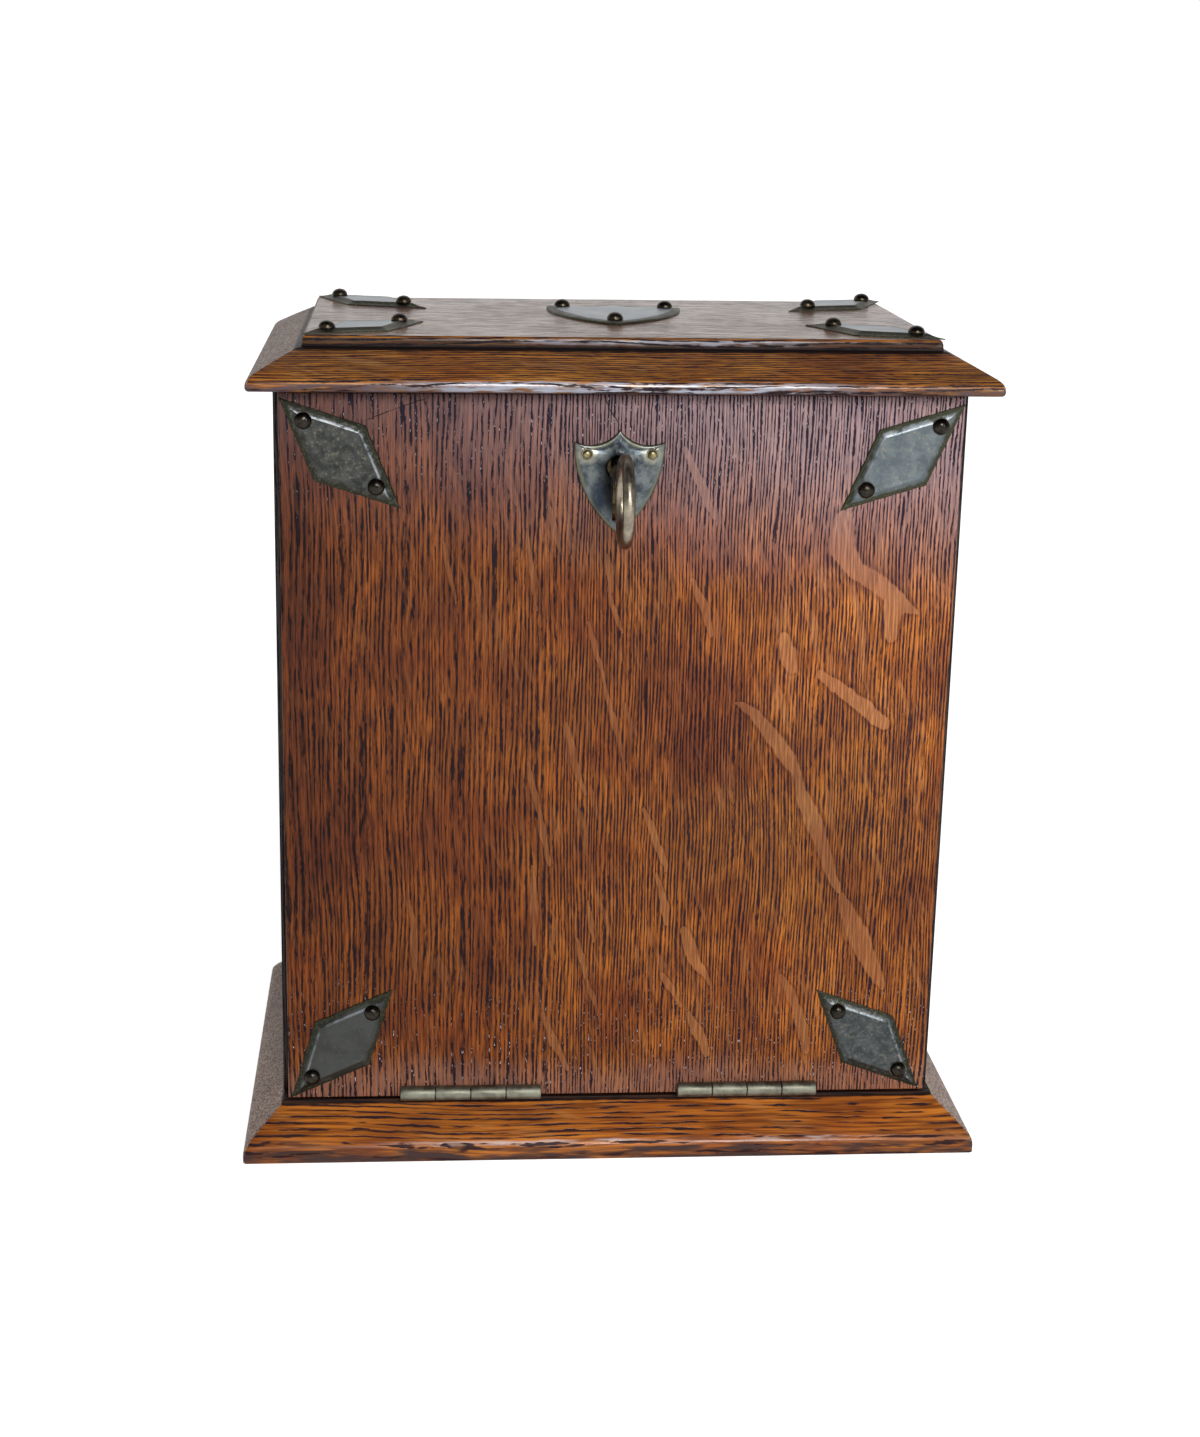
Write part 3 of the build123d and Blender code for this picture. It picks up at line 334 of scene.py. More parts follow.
def end_grain_and_sheen(g, colour, coat):
    """The colour and the coat with end grain, which is dull and dotted, and grey with a painted sheen."""
    end = g.ramp(g.calc("ABSOLUTE", g.parts(g.facing)[g.along]), 0.2, 0.42)
    dots = g.ramp(g.noise(g.place, 0.85, 2, 0.6), 0.42, 0.56)
    dotted_sheen = g.blend(dots, (92, 72, 62), g.blend(g.patch, (158, 138, 126), (204, 184, 170)))
    return g.blend(g.times(end, 0.85), colour, dotted_sheen), g.times(g.rest(end), coat)


def add_shade_and_dirt(g, shade_and_dirt, colour, coat):
    """The colour and the coat with dark bands between levels: low, high and share. They are painted shade in
    creases and under edges, with some dirt packed in the coves.
    """
    for low, high, share in shade_and_dirt:
        z = g.parts(g.wander(g.place, 6, 0.35))[2]
        dark_share = g.times(g.ramp(z, low - 0.5, low), g.ramp(z, high, high + 0.8, 1, 0), share)
        colour = g.blend(dark_share, colour, (22, 15, 16))
        coat = g.times(g.rest(dark_share), coat)
    return colour, coat


def add_painted_bands(g, painted_bands, colour, pore):
    """The colour with painted bands of highlight, reflection and shade: low, high, middle x, half length,
    share and tint.
    """
    for low, high, middle, half, share, tint in painted_bands:
        x, _, z = g.parts(g.wander(g.place, 8, 0.5))
        reach = g.calc("ABSOLUTE", g.calc("SUBTRACT", x, middle))
        level = g.times(g.ramp(z, low - 0.3, low + 0.3), g.ramp(z, high - 0.3, high + 0.3, 1, 0))
        forward = g.ramp(g.parts(g.facing)[1], -0.6, -0.2, 1, 0)
        # noise breaks each painted band into streaks
        patches = g.ramp(g.noise(g.lengthened(7, 70), 1.4, 2, 0.6), 0.36, 0.6)
        band = g.times(level, g.ramp(reach, half * 0.4, half, share, 0), forward, patches, g.rest(pore))
        colour = g.blend(band, colour, tint)
    return colour


def varnished(g, colour, coat, pore):
    """The finished oak, its pores open in the wood and less so in the coat."""
    ripples = g.calc("SUBTRACT", g.times(g.wave, -0.25), pore)
    swell = g.noise(g.lengthened(7), 2.2, 2)
    varnish = g.bump(g.line(ripples, 0.4, swell), 0.6, 0.16 * MM)
    return g.finish(**{
        "Base Color": colour, "Roughness": g.ramp(pore, 0, 1, 0.45, 0.65),
        "Normal": g.bump(ripples, 0.6, 0.14 * MM), "Specular IOR Level": 0.12,
        "Coat Weight": coat, "Coat Roughness": 0.18, "Coat Normal": varnish,
    })


def oak(name, along, coat=0.3, glow=(1, 1, 1), panel=False, seed=0, pores=0, shade_and_dirt=(), coarse=1,
        lines=1, run=9, dark_front=None, flat_dull=False, painted_bands=()):
    """Fumed oak with its grain along one axis: 0 is X, 1 is Y and 2 is Z.

    pores adds to their number and run to their length, coarse enlarges them and their lines, and lines
    darkens the lines. A dark front edge, painted shade where it lies in shadow, ends at dark_front in y, and
    flat_dull takes polish off the slopes.
    """
    g = Grain(name, along, seed, coarse, run, panel)
    pore, soft = pore_shares(g, pores, panel)
    colour = g.blend(g.ramp(g.fibre, 0.32, 0.68), (126, 68, 24), (204, 122, 46))
    colour = g.blend(g.ramp(g.patch, 0.3, 0.7, 0.6, 0), colour, (122, 64, 26))
    colour = g.blend(g.times(soft, 0.75 * lines), colour, (84, 42, 18))
    smooth = streak_share(g)
    if panel:
        smooth, colour = flecked(g, smooth, colour)
    pore = g.times(pore, g.rest(g.times(smooth, 0.9)))
    tan = g.blend(g.ramp(g.fibre, 0.25, 0.75), (134, 82, 44), (184, 120, 70))
    colour = g.blend(smooth, colour, tan)
    pore_colour = g.blend(g.ramp(g.dash, 0.45, 0.62), (58, 34, 32), (30, 20, 34))
    colour = g.blend(g.times(pore, 0.95), colour, pore_colour)
    colour = g.blend(g.ramp(g.broad, 0.4, 0.7, 0, 0.6), colour, (190, 150, 160), "MULTIPLY")
    colour = g.blend(1, colour, (*glow, 1), "MULTIPLY")
    if panel:
        colour = panel_shades(g, colour, pore)
    else:
        colour, coat = end_grain_and_sheen(g, colour, coat)
    if flat_dull:
        # the slopes have lost their polish; the field and the rounded edges keep it
        up = g.parts(g.facing)[2]
        slope = g.times(g.ramp(up, 0.8, 0.86), g.ramp(up, 0.93, 0.97, 1, 0), 0.85)
        coat = g.times(g.rest(slope), coat)
    coat = g.times(g.rest(g.calc("MAXIMUM", g.times(pore, 0.95), g.times(soft, 0.5))), coat)
    colour, coat = add_shade_and_dirt(g, shade_and_dirt, colour, coat)
    colour = add_painted_bands(g, painted_bands, colour, pore)
    # painted shade: front edges that lie in shadow behind the front are darkened
    if dark_front is not None:
        edge = g.ramp(g.parts(g.place)[1], dark_front, dark_front + 1, 0.95, 0)
        colour = g.blend(edge, colour, (12, 8, 8))
    return varnished(g, colour, coat, pore)


def metal(name, base, patches, rough=0.38, patch=7, edge=None, metallic=1, ridge=None, edge_reach=2.2,
          speck=(118, 114, 96), crust=(80, 78, 64), shaded=0, stains_and_shadow=()):
    """A dull old metal of two colours in patches, with specks.

    edge and crust are the rim's colours, edge_reach is how far in it goes, shaded how far its upper sides
    darken as painted shade, and ridge how far in a painted highlight runs along the sides that face up.
    Stains on the front, and painted shadows there, each have a middle, a half width and height, a share
    and a colour.
    """
    g = Graph(name)
    mottle = g.noise(g.place, patch, 4, 0.65)
    fine = g.noise(g.place, 0.8, 3, 0.65)
    specks = g.ramp(g.noise(g.place, 1.1, 3, 0.7), 0.54, 0.66)
    colour = g.blend(g.ramp(mottle, 0.35, 0.65), base, patches)
    colour = g.blend(g.times(specks, g.ramp(mottle, 0.3, 0.6, 0.05, 0.5)), colour, speck)
    roughness = g.ramp(mottle, 0.3, 0.7, rough, rough + 0.16)
    if edge is not None:
        inset = g.swing(mottle, 3, g.attribute("inset"))
        rim = g.ramp(inset, edge_reach - 1.2, edge_reach, 0.92, 0)
        rim_colour = g.blend(g.ramp(g.noise(g.place, 0.7, 2, 0.6), 0.5, 0.75), edge, crust)
        colour = g.blend(rim, colour, rim_colour)
        upward = g.times(g.ramp(g.parts(g.facing)[2], 0.03, 0.2), shaded, rim)
        colour = g.blend(upward, colour, (16, 16, 13))
        roughness = g.line(rim, 0.15, roughness)
    # stains, and painted shadows where shade falls on the front
    for middle, half, share, tint in stains_and_shadow:
        depth = g.blob(g.wander(g.place, 2.5, 1.2), middle, half)
        colour = g.blend(g.ramp(depth, 0.45, 1.25, share, 0), colour, tint)
    # painted highlight: a bright line along the ridge where it faces up
    if ridge is not None:
        off = g.calc("ABSOLUTE", g.calc("SUBTRACT", g.attribute("inset"), ridge))
        lit = g.ramp(g.parts(g.facing)[2], 0.02, 0.2)
        ridge_highlight = g.times(g.ramp(off, 0.1, 0.6, 0.48, 0), lit, g.ramp(mottle, 0.35, 0.55))
        colour = g.blend(ridge_highlight, colour, (172, 178, 184))
    bump = g.bump(fine, 0.5, 0.08 * MM, g.bump(mottle, 0.4, 0.25 * MM))
    return g.finish(**{"Base Color": colour, "Metallic": metallic, "Normal": bump, "Roughness": roughness})


def add_object(name, data):
    """A new object in the scene."""
    made = bpy.data.objects.new(name, data)
    bpy.context.collection.objects.link(made)
    return made


# ---- shapes ----

FAR_IN = 9.0          # an inset, or a fleck's depth, that lies far from every edge
WELD = 0.002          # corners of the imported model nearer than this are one
PLATE_TOP, SHIELD_TOP = 1.6, 1.5


class Skin:
    """A mesh grown from rings of points, in millimetres."""

    def __init__(self):
        self.points, self.faces, self.insets = [], [], []
        self.marks = {}

    def rings(self, rings, place, insets=None, open_end=False):
        """Joins rings of (u, v, height), and fills both ends unless they are left open."""
        first, count = len(self.points), len(rings[0])
        for index, ring in enumerate(rings):
            self.points += [place(*point) for point in ring]
            self.insets += [insets[index] if insets else FAR_IN] * count
        for row in range(len(rings) - 1):
            for step in range(count):
                here = first + row * count + step
                beside = first + row * count + (step + 1) % count
                self.faces.append((here, beside, beside + count, here + count))
        if not open_end:
            last = first + (len(rings) - 1) * count
            self.faces.append(tuple(range(last, last + count)))
            self.faces.append(tuple(reversed(range(first, first + count))))

    def cad_remains(self, node, drop, cut=None):
        """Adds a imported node's faces but those that drop picks or that lie before the cut."""
        shell = bmesh.new()
        shell.from_mesh(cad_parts[node].data)
        bmesh.ops.remove_doubles(shell, verts=shell.verts, dist=WELD * MM)
        if cut is not None:
            bmesh.ops.bisect_plane(shell, geom=[*shell.verts, *shell.edges, *shell.faces], clear_outer=True,
                                   plane_co=(0, cut * MM, 0), plane_no=(0, -1, 0))
        shell.verts.index_update()
        first = len(self.points)
        self.points += [tuple(value / MM for value in vertex.co) for vertex in shell.verts]
        self.insets += [FAR_IN] * len(shell.verts)
        for face in shell.faces:
            if not drop([self.points[first + vertex.index] for vertex in face.verts]):
                self.faces.append(tuple(first + vertex.index for vertex in face.verts))
        shell.free()

    def make(self, name, material, body, slot, *nodes, sharp=40):
        """Makes the piece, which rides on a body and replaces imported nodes."""
        mesh = bpy.data.meshes.new(name)
        mesh.from_pydata([tuple(value * MM for value in point) for point in self.points], [], self.faces)
        for label, marks in {"inset": self.insets, **self.marks}.items():
            values = mesh.attributes.new(label, "FLOAT", "POINT")
            values.data.foreach_set("value", marks + [FAR_IN] * (len(self.points) - len(marks)))
        mesh.materials.append(material)
        mesh.shade_smooth()
        mesh.set_sharp_from_angle(angle=math.radians(sharp))
        piece = add_object(name, mesh)
        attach(piece, body)
        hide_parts(*nodes)


def uneven(u, v, size, seed):
    """Smooth noise from -1 to 1 at a point."""
    return noise.noise(Vector((u / size, v / size, seed)))


def turned(middle, turn, u, v=0):
    """Where (u, v) lies, measured from a middle and turned by degrees about it."""
    cosine, sine = math.cos(math.radians(turn)), math.sin(math.radians(turn))
    return middle[0] + u * cosine - v * sine, middle[1] + u * sine + v * cosine


def on_front(x, z, turn=0):
    """Places (u, v, height) on the front's face."""
    def place(u, v, height):
        across, up = turned((x, z), turn, u, v)
        return across, FRONT_FACE - height, up

    return place


def on_lid(x, y, turn=0):
    """Places (u, v, height) on the lid's field."""
    def place(u, v, height):
        return *turned((x, y), turn, u, v), LID_FIELD + height

    return place


PLATE_HALF, PLATE_SIDE = 27.6, 12.8
PLATE_INRADIUS = PLATE_HALF * PLATE_SIDE / math.hypot(PLATE_HALF, PLATE_SIDE)
# distance in from the edge, and height
PLATE_SECTION = [
    (0, 0), (0, 0.3), (0.15, 0.42), (0.6, 0.5), (1.2, 0.66), (1.8, 0.92), (2.4, 1.24), (2.85, 1.49),
    (3.1, 1.57), (3.35, 1.58), (3.7, 1.54), (4.3, 1.48), (5.4, 1.42), (7, 1.38), (9, 1.36), (10.6, 1.36),
]


def lozenge_plate(skin, place, seed):
    """A lozenge with a bevel round a sunken face, its edges eaten by corrosion."""
    steps = 26
    corners = [(PLATE_HALF, 0), (0, PLATE_SIDE), (-PLATE_HALF, 0), (0, -PLATE_SIDE)]
    outline = [(u0 + (u1 - u0) * step / steps, v0 + (v1 - v0) * step / steps)
               for (u0, v0), (u1, v1) in zip(corners, corners[1:] + corners[:1]) for step in range(steps)]
    rings = []
    for inset, height in PLATE_SECTION:
        share = 1 - inset / PLATE_INRADIUS
        ring = []
        for u, v in outline:
            nick = max(0, uneven(u, v, 2.3, seed) - 0.1) * 0.55 + abs(uneven(u, v, 0.9, seed + 5)) * 0.12
            fade = max(0, 1 - inset / 1.6)
            shrink = 1 - nick * fade / PLATE_INRADIUS
            wave = uneven(u * share, v * share, 6, seed + 9) * 0.07 * min(1, inset / 2)
            level = height + wave if height else 0
            ring.append((u * share * shrink, v * share * shrink, min(level, PLATE_TOP)))
        rings.append(ring)
    skin.rings(rings, place, [inset for inset, _ in PLATE_SECTION])


# how far a stud is from its plate's middle, and its foot's level on plates and on shields
STUD_REACH, STUD_FOOT, STUD_FOOT_ON_SHIELD = 16.4, 1.6, 1.5
# heads: radius, height, the pin's radius and end, and steps round
STUD = (2.9, 2.4, 1.1, -4.4, 40)
PIN = (1.6, 1, 0.8, -2.1, 28)
# halos: lower and upper level, inner and outer radius, and steps
STUD_HALO = (1.3, 1.64, 2.6, 3.15, 40)
PIN_HALO = (1.2, 1.54, 1.4, 2.1, 28)


def circle(radius, steps):
    angles = [math.tau * step / steps for step in range(steps)]
    return [(math.cos(angle) * radius, math.sin(angle) * radius) for angle in angles]


def dome(skin, place, foot, head, seed):
    """A domed head on its pin, a little uneven from the hammer."""
    radius, height, pin_radius, pin_end, steps = head
    section = [(pin_radius, pin_end), (pin_radius, foot), (radius, foot), (radius, foot + height * 0.08)]
    for index in range(1, 12):
        angle = math.radians(index * 7.6)
        section.append((radius * math.cos(angle), foot + height * math.sin(angle) ** 0.92))
    rings = []
    for reach, level in section:
        ring = []
        for u, v in circle(reach, steps):
            dent = 1 + uneven(u, v, 2.2, seed) * 0.035 if level > foot else 1
            ring.append((u * dent, v * dent, level))
        rings.append(ring)
    skin.rings(rings, place)


def halo(skin, place, size):
    """A thin ring of metal rubbed bright round a head."""
    low, high, inner, outer, steps = size
    section = ((inner, low), (outer, low), (outer - 0.12, high), (inner, high))
    rings = [[(u, v, level) for u, v in circle(radius, steps)] for radius, level in section]
    skin.rings(rings, place, open_end=True)


def arc(start, middle, end, steps):
    """Points along the circle through three points, the end left out."""
    a, b, c = complex(*start), complex(*middle), complex(*end)
    ratio = (c - a) / (b - a)
    centre = a - (a - b) * (ratio - abs(ratio) ** 2) / 2j / ratio.imag
    to_middle, to_end = (cmath.phase((point - centre) / (a - centre)) % math.tau for point in (b, c))
    if to_middle > to_end:
        to_end -= math.tau
    points = [centre + (a - centre) * cmath.rect(1, to_end * step / steps) for step in range(steps)]
    return [(point.real, point.imag) for point in points]


def shield_outline(scale, steps):
    """The shield, from its top point, measured from between its upper corners."""
    corner, point, tip = 15.4 * scale, 4.1 * scale, -31.7 * scale
    hollow, belly = (0.58 * corner, -0.28 * point), (0.747 * corner, 0.558 * tip)
    return (arc((0, point), (-hollow[0], hollow[1]), (-corner, 0), steps)
            + arc((-corner, 0), (-belly[0], belly[1]), (0, tip), steps * 2)
            + arc((0, tip), belly, (corner, 0), steps * 2)
            + arc((corner, 0), hollow, (0, point), steps))


def cast(outline, middle, angle):
    """Where the ray from the middle at an angle leaves a closed outline."""
    du, dv = math.cos(angle), math.sin(angle)
    best = 0
    for (u0, v0), (u1, v1) in zip(outline, outline[1:] + outline[:1]):
        eu, ev = u1 - u0, v1 - v0
        cross = du * ev - dv * eu
        if abs(cross) < 1e-12:
            continue
        pu, pv = u0 - middle[0], v0 - middle[1]
        far = (pu * ev - pv * eu) / cross
        along = (pu * dv - pv * du) / cross
        if far > 0 and -1e-9 <= along <= 1 + 1e-9:
            best = max(best, far)
    return middle[0] + du * best, middle[1] + dv * best


def keyhole_outline():
    """The keyhole, measured as the lock's shield is."""
    radius, half, centre, foot, steps = 4.1, 2.1, KEYHOLE_Z - SHIELD_Z, KEYHOLE_FOOT - SHIELD_Z, 40
    start = math.asin(half / radius)
    turn = math.tau - 2 * start
    angles = [start + turn * step / steps for step in range(steps + 1)]
    round_head = [(radius * math.sin(angle), centre - radius * math.cos(angle)) for angle in angles]
    return [(-half, foot), (half, foot), *round_head]


# distance in from the edge, and height: first the raised lip, then the domed field
ESCUTCHEON_LIP = [(0, 0), (0, 0.35), (0.15, 0.6), (0.6, 0.86), (1.1, 0.96), (1.6, 0.93), (2, 0.9)]
ESCUTCHEON_FIELD = [(2.6, 1.02), (3.4, 1.22), (4.4, 1.34), (6, 1.42), (8, 1.46)]
# the opening: share of the way from the edge to the keyhole, and height
ESCUTCHEON_OPENING = [(0.86, 1.46), (0.93, 1.4), (0.97, 1.24), (1, 0.95), (1, 0)]


def escutcheon_point(rim, share, height, nicked=False):
    """A point between the shield's edge and its keyhole, uneven where it is raised."""
    (outer_u, outer_v), (inner_u, inner_v) = rim
    u, v = outer_u + (inner_u - outer_u) * share, outer_v + (inner_v - outer_v) * share
    if height > 0.3:
        height = min(SHIELD_TOP, height + uneven(u, v, 5, 3) * 0.06)
    nick = abs(uneven(u, v, 1.6, 8)) * 0.25 if nicked else 0
    return u * (1 - nick / 15), v - nick * v / 40, height


def escutcheon_skin(skin):
    """The lock's shield: a raised lip, a domed field and an opening pressed in at the keyhole."""
    outer, inner = shield_outline(1, 24), keyhole_outline()
    middle = (0, 247.4 - SHIELD_Z)
    angles = sorted({math.atan2(v - middle[1], u - middle[0]) for u, v in outer + inner[::2]})
    rims = [(cast(outer, middle, angle), cast(inner, middle, angle)) for angle in angles]
    section = ESCUTCHEON_LIP + ESCUTCHEON_FIELD
    rings = []
    for index, (inset, height) in enumerate(section):
        ring = []
        for rim in rims:
            share = min(inset / math.dist(*rim), 0.8 + 0.05 * index / len(section))
            # a shallow groove runs over the field from the top point to the keyhole
            u, v = rim[0]
            grooved = index >= len(ESCUTCHEON_LIP) and v > -12
            groove = 0.1 * math.exp(-((u * (1 - share)) / 0.8) ** 2) if grooved else 0
            ring.append(escutcheon_point(rim, share, height - groove, inset < 0.3))
        rings.append(ring)
    rings += [[escutcheon_point(rim, share, height) for rim in rims] for share, height in ESCUTCHEON_OPENING]
    insets = [inset for inset, _ in section] + [FAR_IN] * len(ESCUTCHEON_OPENING)
    skin.rings(rings, on_front(LOCK_X, SHIELD_Z), insets, open_end=True)


# distance in from the edge, and height
LID_SHIELD_SECTION = [
    (0, 0), (0, 0.45), (0.2, 0.7), (0.9, 0.95), (1.8, 1), (2.6, 0.98), (3.6, 1.16), (5, 1.3),
    (8, 1.4), (12, 1.42),
]


def lid_shield_skin(skin):
    """The lid's shield, larger and without a hole."""
    outer, middle = shield_outline(1.61, 22), (0, -14)
    rings = []
    for inset, height in LID_SHIELD_SECTION:
        ring = []
        for u, v in outer:
            share = min(inset / math.dist((u, v), middle), 0.9)
            u, v = u + (middle[0] - u) * share, v + (middle[1] - v) * share
            bumpy = min(SHIELD_TOP, height + uneven(u, v, 7, 12) * 0.07)
            ring.append((u, v, bumpy if height > 0.5 else height))
        rings.append(ring)
    skin.rings(rings, on_lid(*LID_SHIELD), [inset for inset, _ in LID_SHIELD_SECTION])


def board_ring(bounds, level, corner, steps, wear, seed):
    """A rectangle with rounded corners at a level, its edge worn inward here and there."""
    x0, x1, y0, y1 = bounds
    left, right, near, far = x0 + corner, x1 - corner, y0 + corner, y1 - corner
    middles = [(right, far), (left, far), (left, near), (right, near)]
    ring = []
    for index, (x, y) in enumerate(middles):
        next_x, next_y = middles[(index + 1) % 4]
        for turn in (0, 30, 60, 90):
            angle = math.radians(90 * index + turn)
            out_x, out_y = corner * math.cos(angle), corner * math.sin(angle)
            ring.append((x + out_x, y + out_y))
        for share in [step / steps for step in range(1, steps)]:
            ring.append((x + (next_x - x) * share + out_x, y + (next_y - y) * share + out_y))
    if wear:
        middle, reach = (y0 + y1) / 2, (y1 - y0) / 2 - corner - 0.1
        for index, (x, y) in enumerate(ring):
            if abs(y - middle) > reach and x0 + 3 < x < x1 - 3:
                long_wear = 0.5 * max(0, uneven(x, y, 16, seed))
                short_wear = max(0, uneven(x, y, 6, seed + 7) - 0.25)
                bite = 0.5 * wear * (long_wear + short_wear)
                ring[index] = (x, y - math.copysign(bite, y - middle))
    return [(x, y, level) for x, y in ring]


def as_built(x, y, z):
    """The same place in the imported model."""
    return x, y, z


SKIN_DEPTH = 1.2      # packed faces within this of a board's outer surface give way to its skin
LID_HALF, LID_FRONT, LID_BACK = 126.15, -77.6, 73.6
# how far in, how far in at the back, height, corner radius, wear
LID_SECTION = [
    (1.35, 1.35, 276.2, 0.6, 0), (0.7, 0.7, 276.32, 0.8, 0), (0.25, 0.25, 276.7, 0.9, 0.1),
    (0, 0, 277.4, 0.9, 0.1), (0.02, 0.02, 278.2, 0.9, 0.1), (0.1, 0.1, 278.9, 0.9, 0.2),
    (0.28, 0.28, 279.5, 0.9, 0.3), (0.6, 0.6, 280.1, 0.9, 0.4), (1.05, 1.03, 280.65, 0.8, 0.4),
    (1.65, 1.55, 281.15, 0.7, 0.3), (2.5, 2.35, 281.75, 0.5, 0), (9, 8.4, 285.2, 0.3, 0),
    (15.9, 14.7, 288.6, 0.3, 0),
    (16.6, 15.3, 288.92, 0.3, 0), (17.3, 16, 289, 0.4, 0), (17.75, 16.45, 289.2, 0.5, 0),
    (17.8, 16.5, 290.2, 0.5, 0.1), (17.85, 16.55, 291.1, 0.6, 0.2), (17.98, 16.68, 291.8, 0.7, 0.3),
    (18.2, 16.9, 292.3, 0.8, 0.4), (18.6, 17.3, 292.65, 0.8, 0.3), (19.2, 17.9, 292.78, 0.8, 0),
    (20.2, 18.9, 292.8, 0.8, 0),
]


def board_skin(skin, node, rings, depth, low, high, top=()):
    """Adds rings and a top to a skin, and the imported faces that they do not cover."""
    skin.rings(rings, as_built, open_end=True)
    skin.faces += top

    def covered(points):
        level = max(z for *_, z in points)
        return low < level < high and all(depth(*point) < SKIN_DEPTH for point in points)

    skin.cad_remains(node, covered)


def lid_depth(x, y, z):
    """How far a point lies inside the lid's field, its upright step, or its slope and edge."""
    if z > 292.77:
        return 0
    if z > 288.98:
        return min(108.35 - abs(x), y + 59.8, 57.1 - y)
    run = max(0, z - 280.8) / 8.2
    return min(LID_HALF - 16.6 * run - abs(x), y - LID_FRONT - 16.6 * run, LID_BACK - 15.3 * run - y)


def lid_skin(skin):
    """The lid's outside, its arrises rounded and worn."""
    rings, steps = [], 70
    for inset, back_inset, level, corner, wear in LID_SECTION:
        bounds = (-LID_HALF + inset, LID_HALF - inset, LID_FRONT + inset, LID_BACK - back_inset)
        rings.append(board_ring(bounds, level, corner, steps, wear, 17))
    count = len(rings) * len(rings[0])
    field = tuple(range(count - len(rings[0]), count))
    board_skin(skin, "lid_board", rings, lid_depth, 276.3, 300, [field])


BASE_HALF, BASE_DEEP = 131.7, 80.6
# how far in, height, corner radius, wear
BASE_SECTION = [
    (1.4, 0, 0.6, 0), (0.3, 0, 0.9, 0), (0, 0.35, 0.9, 0), (0, 1.5, 0.9, 0.3), (0, 3, 0.9, 0.3),
    (0.12, 4.2, 0.9, 0.3), (0.4, 5.2, 0.9, 0.4), (0.9, 6.1, 0.9, 0.4), (1.7, 7.05, 0.8, 0.2),
    (3, 8.4, 0.6, 0), (7, 11.75, 0.5, 0), (13.4, 17, 0.4, 0),
]


def base_depth(x, y, z):
    """How far a point lies inside the base's upright edge or its slope."""
    run = 13.4 * max(0, z - 6.2) / 10.8
    return min(BASE_HALF - run - abs(x), BASE_DEEP - run - abs(y))


def base_skin(skin):
    """The base's moulded edge; its step and its field stay as they are."""
    rings, steps = [], 76
    for inset, level, corner, wear in BASE_SECTION:
        bounds = (-BASE_HALF + inset, BASE_HALF - inset, -BASE_DEEP + inset, BASE_DEEP - inset)
        rings.append(board_ring(bounds, level, corner, steps, wear, 43))
    board_skin(skin, "base_board", rings, base_depth, 0.01, 17.01)


def fleck_depths(x, z):
    """0 in the middle of a ray fleck, 1 on its edge and up to 3 beyond it."""
    beyond = 3.0
    depth = np.full(x.shape, beyond)
    for stroke in FLECKS:
        one = np.full(x.shape, beyond)
        for (x0, z0, w0), (x1, z1, w1) in zip(stroke, stroke[1:]):
            run = (x1 - x0) ** 2 + (z1 - z0) ** 2
            share = np.clip(((x - x0) * (x1 - x0) + (z - z0) * (z1 - z0)) / run, 0, 1)
            away = np.hypot(x - x0 - (x1 - x0) * share, z - z0 - (z1 - z0) * share)
            one = np.minimum(one, away / (w0 + (w1 - w0) * share))
        depth = np.minimum(depth, one)
    return depth


PANEL_LEFT, PANEL_RIGHT, PANEL_LOW, PANEL_HIGH = -116, 115, 19.4, 275
PANEL_ROLL = 0.7      # how far in the panel's edges are rounded


def panel_lines(first, last, pitch):
    """Grid lines, close together where the edges roll over."""
    lips = np.array([0, 0.06, 0.2, 0.42])
    count = round((last - first - 2 * PANEL_ROLL) / pitch)
    middle = np.linspace(first + PANEL_ROLL, last - PANEL_ROLL, count + 1)
    return np.concatenate([first + lips, middle, (last - lips)[::-1]])


def shifts(x, z, size_x, size_z, seed):
    """Smooth noise vectors at places, the same in each run."""
    noise.seed_set(1)
    return np.array([noise.noise_vector(Vector((a / size_x, seed, b / size_z))) for a, b in zip(x, z)])


def over_keyhole(x, z):
    """Whether a place on the front is open for the keyhole."""
    radius, half, low, high = 4.6, 2.7, 232, 250
    across = abs(x - LOCK_X)
    return math.hypot(across, z - KEYHOLE_Z) < radius or (across < half and low < z < high)


def panel_skin(skin):
    """The front's face as a fine sheet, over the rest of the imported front."""
    xs, zs = panel_lines(PANEL_LEFT, PANEL_RIGHT, 0.75), panel_lines(PANEL_LOW, PANEL_HIGH, 1.15)
    x, z = (grid.ravel() for grid in np.meshgrid(xs, zs))
    broad, fine = shifts(x, z, 13, 15, 3.3), shifts(x, z, 2.6, 4, 9.1)
    flecks = fleck_depths(x + broad[:, 0] * 1.1 + fine[:, 0] * 0.6, z + broad[:, 2] * 1.1 + fine[:, 2] * 0.9)
    rim = np.minimum(np.minimum(x - PANEL_LEFT, PANEL_RIGHT - x), np.minimum(z - PANEL_LOW, PANEL_HIGH - z))
    lip = np.clip(PANEL_ROLL - rim, 0, PANEL_ROLL)
    fall = PANEL_ROLL - np.sqrt(PANEL_ROLL**2 - lip**2)
    wave = (broad[:, 1] * 0.05 + 0.05) * np.clip(rim / 3, 0, 1)
    raised = 0.03 * np.clip((1 - flecks) * 4, 0, 1)
    y = FRONT_FACE + np.maximum(0, fall + wave - raised)
    skin.points = list(zip(x.tolist(), y.tolist(), z.tolist()))
    skin.insets = rim.tolist()
    skin.marks["fleck"] = flecks.tolist()
    wide = len(xs)
    for row in range(len(zs) - 1):
        for column in range(wide - 1):
            if not over_keyhole((xs[column] + xs[column + 1]) / 2, (zs[row] + zs[row + 1]) / 2):
                corner = row * wide + column
                skin.faces.append((corner, corner + 1, corner + 1 + wide, corner + wide))
    skin.cad_remains("front_panel", lambda points: False, cut=FRONT_FACE + PANEL_ROLL)


